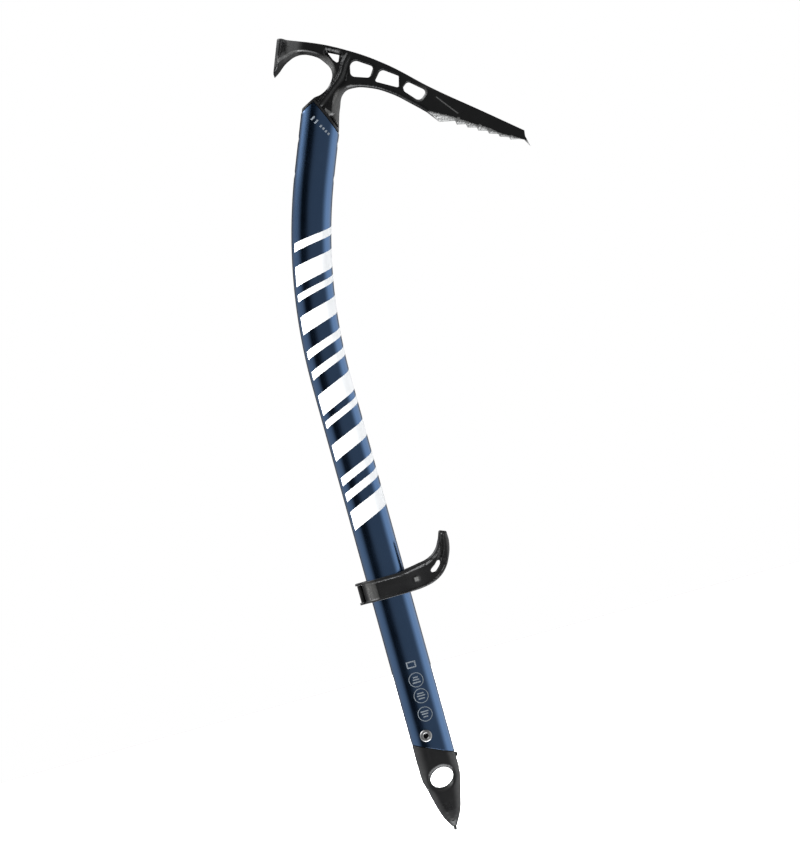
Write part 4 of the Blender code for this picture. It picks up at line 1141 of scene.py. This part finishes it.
def blue_anodised():
    """Anodised aluminium: fine lines along the tube, faint cloudiness and a few scratches from rubbing."""
    finish = Finish("blue_anodised_finish", BLUE, 0.26, 1.0)
    wrap = finish.wrap()
    lines = finish.noise(1.0, 4.0, 0.6, finish.stretched((9000, 60, 1), wrap))
    cloud = finish.noise(28.0, 3.0, 0.5)
    scratch = finish.noise(1.0, 2.0, 0.5, finish.stretched((220, 2600, 1), wrap, 0.0))
    scratch = finish.span(scratch, 0.735, 0.76)
    paler_marks = finish.times(scratch, finish.span(finish.noise(40.0), 0.5, 0.62))
    colour = finish.blend(finish.span(lines, 0.3, 0.7), BLUE, BLUE_LINE)
    colour = finish.blend(finish.span(cloud, 0.35, 0.7, 0.0, 0.35), colour, BLUE_PALE)
    colour = finish.blend(finish.times(paler_marks, 0.5), colour, (0.3, 0.36, 0.42))
    finish.colour(finish.blend(finish.span(finish.attribute("bare"), 0.3, 0.6), colour, (0.62, 0.64, 0.67)))
    uneven = finish.span(cloud, 0.3, 0.7, -0.02, 0.03)
    finish.rough(finish.sum(finish.span(lines, 0.3, 0.7, 0.14, 0.23), uneven))
    finish.shader.inputs["Coat Weight"].default_value = 0.5
    finish.shader.inputs["Coat Roughness"].default_value = 0.16
    finish.bump(lines, 0.004, 0.35)
    finish.bump(finish.noise(2600.0, 2.0), 0.003, 0.3)
    return finish.material


def black_forging():
    """Coated steel, orange-peel coat worn to grey on its edges, bare flanks from grinding on the teeth, and the
    same bare steel painted on as highlights on facets and edges.
    """
    finish = Finish("black_coat_finish", BLACK, 0.34, 0.0, 0.34)
    peel = finish.noise(950.0, 2.0, 0.5)
    patch = finish.noise(90.0, 4.0, 0.6)
    grain = finish.noise(5200.0, 2.0, 0.6)
    near_rim = finish.span(finish.attribute("rim"), 1.6, 0.3)
    worn = finish.times(finish.times(finish.edges(), near_rim), finish.span(patch, 0.5, 0.68))
    ground_and_painted_highlight = finish.attribute("ground_and_painted_highlight")
    marks = finish.noise(1.0, 2.0, 0.5, finish.stretched((5200, 300, 700), turn=math.radians(28)))
    coat = finish.blend(patch, (0.0010, 0.00105, 0.0011), (0.0024, 0.00245, 0.0025))
    coat = finish.blend(finish.times(worn, 0.4), coat, (0.06, 0.06, 0.058))
    # Bare steel colour for the teeth, and the same colour painted on as highlights on the head's facets and
    # edges.
    bare = finish.blend(marks, (0.09, 0.09, 0.09), (0.22, 0.22, 0.215))
    finish.colour(finish.blend(ground_and_painted_highlight, coat, bare))
    finish.metal(finish.sum(finish.times(ground_and_painted_highlight, 0.85), finish.times(worn, 0.3)))
    finish.rough(finish.sum(finish.span(patch, 0.3, 0.7, 0.22, 0.31), finish.times(ground_and_painted_highlight, 0.06)))
    finish.bump(peel, 0.009, 0.4)
    finish.bump(grain, 0.002, 0.25)
    finish.bump(finish.times(marks, ground_and_painted_highlight), 0.012, 0.4)
    return finish.material


def cast_black():
    """Ferrule: matte glass-filled nylon with a fine moulded grain, polished a little where it rubs."""
    finish = Finish("ferrule_finish", (0.012, 0.012, 0.0125), 0.42, 0.0, 0.45)
    grain = finish.cells(2400.0)
    patch = finish.noise(70.0, 4.0, 0.6)
    paler_marks = finish.times(finish.edges(), finish.span(patch, 0.42, 0.65))
    colour = finish.blend(patch, (0.0032, 0.0032, 0.0034), (0.0055, 0.0055, 0.0057))
    finish.colour(finish.blend(finish.times(paler_marks, 0.4), colour, (0.014, 0.014, 0.014)))
    finish.rough(finish.sum(finish.span(patch, 0.3, 0.7, 0.26, 0.36), finish.times(paler_marks, -0.04)))
    finish.bump(grain, 0.018, 0.5)
    finish.bump(finish.noise(500.0, 3.0), 0.02, 0.3)
    return finish.material


def nylon(name, shade, roughness, paler_marks=()):
    """Moulded nylon with an eroded texture and flow marks, paler in streaked patches: (x, z, half x, half z,
    share).
    """
    finish = Finish(name, (shade, shade, shade * 1.04), roughness, 0.0, 0.5)
    grain = finish.cells(3200.0)
    flow = finish.noise(1.0, 4.0, 0.6, finish.stretched((60, 60, 160)))
    dark, pale = shade * 0.8, shade * 1.4
    colour = finish.blend(flow, (dark, dark, dark * 1.04), (pale, pale, pale * 1.04))
    split = finish.node("ShaderNodeSeparateXYZ", Vector=finish.places)
    # Each patch is painted paler; on the hand rest the first stands for a painted highlight on a lit facet.
    for x, z, half_x, half_z, share in paler_marks:
        sides = []
        for axis, middle, half in (("X", x, half_x), ("Z", z, half_z)):
            off = finish.sum(finish.sum(split.outputs[axis], middle * MM, "SUBTRACT"), 0.0, "ABSOLUTE")
            sides.append(finish.span(off, half * MM, (half - 0.8) * MM))
        streaks = finish.noise(1.0, 3.0, 0.6, finish.stretched((900, 300, 120)))
        mask = finish.times(finish.times(*sides), finish.span(streaks, 0.35, 0.65, 0.6, 1.0))
        colour = finish.blend(finish.times(mask, share), colour, (0.16, 0.16, 0.155))
    finish.colour(colour)
    finish.rough(finish.span(flow, 0.3, 0.7, roughness - 0.07, roughness + 0.07))
    finish.bump(grain, 0.014, 0.5)
    finish.bump(finish.noise(700.0, 2.0), 0.012, 0.3)
    return finish.material


def rubber():
    finish = Finish("rubber_finish", (0.012, 0.012, 0.012), 0.75, 0.0, 0.35)
    dust = finish.noise(160.0, 4.0, 0.65)
    finish.colour(finish.blend(finish.span(dust, 0.45, 0.75), (0.011, 0.011, 0.011), (0.03, 0.029, 0.028)))
    finish.rough(finish.span(dust, 0.3, 0.7, 0.66, 0.82))
    finish.bump(finish.noise(1800.0, 3.0), 0.03, 0.5)
    return finish.material


def turned_steel(name, colour, low, high, shaded_from=None):
    """Turned steel with fine tool marks, dulled in patches, and painted dark behind the given Y as shade inside
    the hole it sits in.
    """
    finish = Finish(name, colour, low, 1.0)
    marks = finish.noise(1.0, 3.0, 0.6, finish.stretched((1500, 9000, 1500)))
    patch = finish.noise(420.0, 4.0, 0.6)
    dull = tuple(c * 0.72 for c in colour)
    shade = finish.blend(finish.span(patch, 0.42, 0.7), colour, dull)
    if shaded_from is not None:
        # Painted shade: darkens the steel from just in front of the tube's near face to a little past its
        # middle, inside the hole.
        depth = finish.node("ShaderNodeSeparateXYZ", Vector=finish.places).outputs["Y"]
        painted_shade = finish.times(finish.span(depth, (shaded_from - 0.3) * MM, shaded_from * MM),
                            finish.span(depth, 0.002, 0.001))
        shade = finish.blend(painted_shade, shade, (0.004, 0.004, 0.004))
    finish.colour(shade)
    finish.rough(finish.sum(finish.span(marks, 0.3, 0.7, low, high), finish.span(patch, 0.4, 0.7, 0.0, 0.08)))
    finish.bump(marks, 0.006, 0.5)
    return finish.material


def screen_print(name, colour):
    """Screen-printed paint: slightly uneven, thinner and bluish grey in small worn specks."""
    finish = Finish(name, colour, 0.45, 0.0, 0.4)
    patch = finish.noise(140.0, 4.0, 0.6)
    specks = finish.span(finish.noise(1500.0, 2.0, 0.5), 0.70, 0.74)
    worn = finish.times(specks, finish.span(finish.noise(60.0), 0.52, 0.66))
    dim = tuple(c * 0.95 for c in colour)
    paint = finish.blend(finish.span(patch, 0.3, 0.7), colour, dim)
    finish.colour(finish.blend(finish.times(worn, 0.745), paint, (0.33, 0.37, 0.43)))
    finish.rough(finish.span(patch, 0.3, 0.7, 0.38, 0.55))
    finish.bump(finish.noise(2200.0, 2.0), 0.006, 0.4)
    return finish.material


# ------------------------------------------------------------------ assembly

def place(obj, body, nodes, slot, finish):
    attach(obj, body)
    if nodes:
        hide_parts(*nodes)
    obj.data.materials.clear()
    obj.data.materials.append(finish)


def soften(node, width, segments=2):
    """Small round edges on a CAD node that stays."""
    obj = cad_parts[node]
    weld = obj.modifiers.new("join", "WELD")
    weld.merge_threshold = 0.00001
    bevel = obj.modifiers.new("soft_edges", "BEVEL")
    bevel.width = width * MM
    bevel.segments = segments
    bevel.limit_method = "ANGLE"
    bevel.angle_limit = math.radians(35)
    bevel.use_clamp_overlap = True


def dress(node, finish):
    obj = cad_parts[node]
    if not obj.material_slots:
        obj.data.materials.append(finish)
    for slot in obj.material_slots:
        slot.material = finish


FORGING = black_forging()
CAST = cast_black()
# Pale patches on the hand rest (x, z, half x, half z, share): a painted highlight on the collar's left corner
# facet, where light falls, and the pale stud.
REST_PALE_PATCHES = [(-12.4, 187.1, 4.2, 7.0, 0.13), (21.7, 187.0, 2.0, 1.9, 1.0)]
REST_NYLON = nylon("hand_rest_finish", 0.0036, 0.3, REST_PALE_PATCHES)
LEVER_NYLON = nylon("lever_finish", 0.002, 0.4)
SHIM_NYLON = nylon("shim_finish", 0.003, 0.36)
BLUE_METAL = blue_anodised()
RUBBER = rubber()
BRIGHT = turned_steel("bright_steel_finish", STEEL, 0.2, 0.34)
# The rivet's steel is painted dark inside the tube, as shade in its hole.
RIVET_STEEL = turned_steel("rivet_steel_finish", (0.38, 0.38, 0.375), 0.3, 0.42, -TUBE_HALF_Y - 0.3)
DARK_STEEL = turned_steel("dark_steel_finish", (0.06, 0.06, 0.062), 0.3, 0.42)
WHITE = screen_print("white_print_finish", (0.58, 0.588, 0.595))
GREY = screen_print("grey_print_finish", (0.105, 0.12, 0.135))

place(make_head(), "axe", ["head_forging"], "black_steel", FORGING)
place(make_shaft(), "axe", ["shaft_tube"], "blue_anodised", BLUE_METAL)
place(make_ferrule(), "axe", ["ferrule"], "ferrule_black", CAST)
place(make_hand_rest(), "hand_rest", ["hand_rest_body"], "black_nylon", REST_NYLON)
place(make_lever(), "lock_lever", ["lock_lever"], "black_nylon", LEVER_NYLON)
for mark in make_prints():
    place(mark, "axe", [], "blue_anodised", WHITE if "band" in mark.name else GREY)
for turned_piece, body, node, slot in make_turned():
    steel = DARK_STEEL if slot == "black_steel" else BRIGHT
    place(turned_piece, body, [node], slot, RIVET_STEEL if node == "ferrule_rivet" else steel)
for node, finish, width in (("tang_shim_near", SHIM_NYLON, 0.25), ("tang_shim_far", SHIM_NYLON, 0.25),
                            ("hand_rest_liner", RUBBER, 0.15), ("brake_shoe", DARK_STEEL, 0.3),
                            ("brake_pad", RUBBER, 0.2)):
    dress(node, finish)
    soften(node, width)


# ------------------------------------------------------------------ floor, light and camera

def make_floor():
    """Pale floor, flat and far wider than the view."""
    reach, count = 2.3, 60
    marks = np.linspace(-1, 1, count)
    marks = np.sign(marks) * np.abs(marks) ** 2 * reach
    vertices = [(x, y, 0.0) for y in marks for x in marks]
    floor = new_piece("studio_floor", vertices, quads(count, count, around=False), Matrix.Identity(4))
    finish = Finish("studio_floor_finish", (0.92, 0.92, 0.92), 0.9, 0.0, 0.1)
    cloud = finish.noise(6.0, 3.0)
    finish.colour(finish.blend(cloud, (0.90, 0.90, 0.90), (0.94, 0.94, 0.94)))
    floor.data.materials.append(finish.material)
    floor.visible_glossy = False
    floor.visible_diffuse = False
    floor.visible_shadow = False


SIDE_STOPS = [(-1.0, 0.72), (-0.84, 0.58), (-0.62, 0.3), (-0.45, 0.1), (-0.33, 0.01), (-0.17, 0.01),
              (-0.09, 0.27), (-0.03, 0.3), (0.3, 0.29), (0.47, 0.36), (0.62, 0.62), (0.78, 1.0),
              (0.92, 1.45), (1.0, 1.45)]
HEIGHT_STOPS = [(-1.0, 1.0), (0.0, 1.0), (0.4, 0.9), (0.55, 0.4), (1.0, 0.6)]
BACK_STOPS = [(-1.0, 1.0), (0.75, 1.0), (0.93, 0.3), (1.0, 0.2)]
TABLE_STOPS = [(-1.0, 9.0), (-0.88, 9.0), (-0.74, 2.4), (-0.66, 0.0), (1.0, 0.0)]
TABLE_DEPTH_STOPS = [(-1.0, 1.0), (-0.2, 1.0), (0.02, 0.08), (1.0, 0.04)]
KEY_STOPS = [(-1.0, 4.5), (-0.5, 4.5), (-0.25, 0.0), (1.0, 0.0)]
KEY_HEIGHT_STOPS = [(-1.0, 0.0), (0.38, 0.0), (0.6, 1.0), (0.85, 1.0), (1.0, 0.3)]
BRIGHTEST = 9.0


def make_world():
    """Studio surround: white to the camera, soft vertical lights and dark flags in reflections."""
    world = bpy.data.worlds.new("studio")
    bpy.context.scene.world = world
    world.use_nodes = True
    tree = world.node_tree
    tree.nodes.clear()
    out = tree.nodes.new("ShaderNodeOutputWorld")
    mix = tree.nodes.new("ShaderNodeMixShader")
    white = tree.nodes.new("ShaderNodeBackground")
    studio = tree.nodes.new("ShaderNodeBackground")
    rays = tree.nodes.new("ShaderNodeLightPath")
    direction = tree.nodes.new("ShaderNodeTexCoord")
    split = tree.nodes.new("ShaderNodeSeparateXYZ")
    tree.links.new(direction.outputs["Generated"], split.inputs[0])

    def ramped(axis, stops):
        """Levels, as shares of the brightest, along an axis of the direction, which runs from -1 to 1."""
        spread = tree.nodes.new("ShaderNodeMapRange")
        tree.links.new(split.outputs[axis], spread.inputs[0])
        spread.inputs[1].default_value = -1.0
        spread.inputs[2].default_value = 1.0
        colours = tree.nodes.new("ShaderNodeValToRGB")
        tree.links.new(spread.outputs[0], colours.inputs[0])
        band = colours.color_ramp
        band.interpolation = "EASE"
        while len(band.elements) < len(stops):
            band.elements.new(0.5)
        for element, (at, level) in zip(band.elements, stops):
            element.position = (at + 1) / 2
            share = level / BRIGHTEST
            element.color = (share, share, share, 1)
        return colours.outputs[0]

    def combined(operation, first, second):
        node = tree.nodes.new("ShaderNodeMath")
        node.operation = operation
        for socket, value in zip(node.inputs, (first, second)):
            if isinstance(value, bpy.types.NodeSocket):
                tree.links.new(value, socket)
            else:
                socket.default_value = value
        return node.outputs[0]

    def product(*ramps):
        """The product of ramps, given as (axis, stops), at their true levels."""
        total = ramped(*ramps[0])
        for axis, stops in ramps[1:]:
            total = combined("MULTIPLY", total, ramped(axis, stops))
        return combined("MULTIPLY", total, BRIGHTEST ** len(ramps))

    walls = product(("X", SIDE_STOPS), ("Z", HEIGHT_STOPS), ("Y", BACK_STOPS))
    table = product(("Z", TABLE_STOPS), ("Y", TABLE_DEPTH_STOPS))
    key = product(("X", KEY_STOPS), ("Z", KEY_HEIGHT_STOPS))
    tree.links.new(combined("ADD", combined("ADD", walls, table), key), studio.inputs["Strength"])
    studio.inputs["Color"].default_value = (0.97, 0.985, 1.0, 1)
    white.inputs["Color"].default_value = (1, 1, 1, 1)
    tree.links.new(rays.outputs["Is Camera Ray"], mix.inputs[0])
    tree.links.new(studio.outputs[0], mix.inputs[1])
    tree.links.new(white.outputs[0], mix.inputs[2])
    tree.links.new(mix.outputs[0], out.inputs["Surface"])


def area_light(name, place_at, aim, size, power, glossy):
    light = bpy.data.lights.new(name, "AREA")
    light.shape = "RECTANGLE"
    light.size, light.size_y = size
    light.energy = power
    lamp = bpy.data.objects.new(name, light)
    lamp.location = place_at
    lamp.rotation_euler = (Vector(aim) - Vector(place_at)).to_track_quat("-Z", "Y").to_euler()
    lamp.visible_glossy = glossy
    lamp.visible_camera = False
    bpy.context.scene.collection.objects.link(lamp)


CAMERA_AIM = Vector((0.0385, 0.0, 0.2938))
CAMERA_AWAY = 3.2
VIEW_HEIGHT = 0.6416
LEAN = math.radians(15.52)


def make_camera():
    data = bpy.data.cameras.new("camera")
    data.sensor_fit = "AUTO"
    data.sensor_width = 36.0
    data.lens = 36.0 * CAMERA_AWAY / VIEW_HEIGHT
    data.clip_start = 0.05
    data.clip_end = 100.0
    camera = bpy.data.objects.new("camera", data)
    camera.location = CAMERA_AIM + Vector((0, -CAMERA_AWAY, 0))
    facing = Matrix.Rotation(math.pi / 2, 4, "X") @ Matrix.Rotation(-LEAN, 4, "Z")
    camera.rotation_euler = facing.to_euler()
    bpy.context.scene.collection.objects.link(camera)
    bpy.context.scene.camera = camera


make_floor()
make_world()
area_light("overhead", (0.1, 0.3, 3.2), (0.1, 0.3, 0.0), (4.0, 4.0), 560.0, False)
area_light("left_side", (-2.4, -0.35, 0.9), (0.0, 0.0, 0.3), (1.0, 1.6), 270.0, False)
area_light("upper_left", (-1.8, -1.0, 2.4), (0.05, 0.0, 0.5), (1.4, 1.4), 110.0, False)
make_camera()
bpy.context.scene.view_settings.view_transform = "Standard"
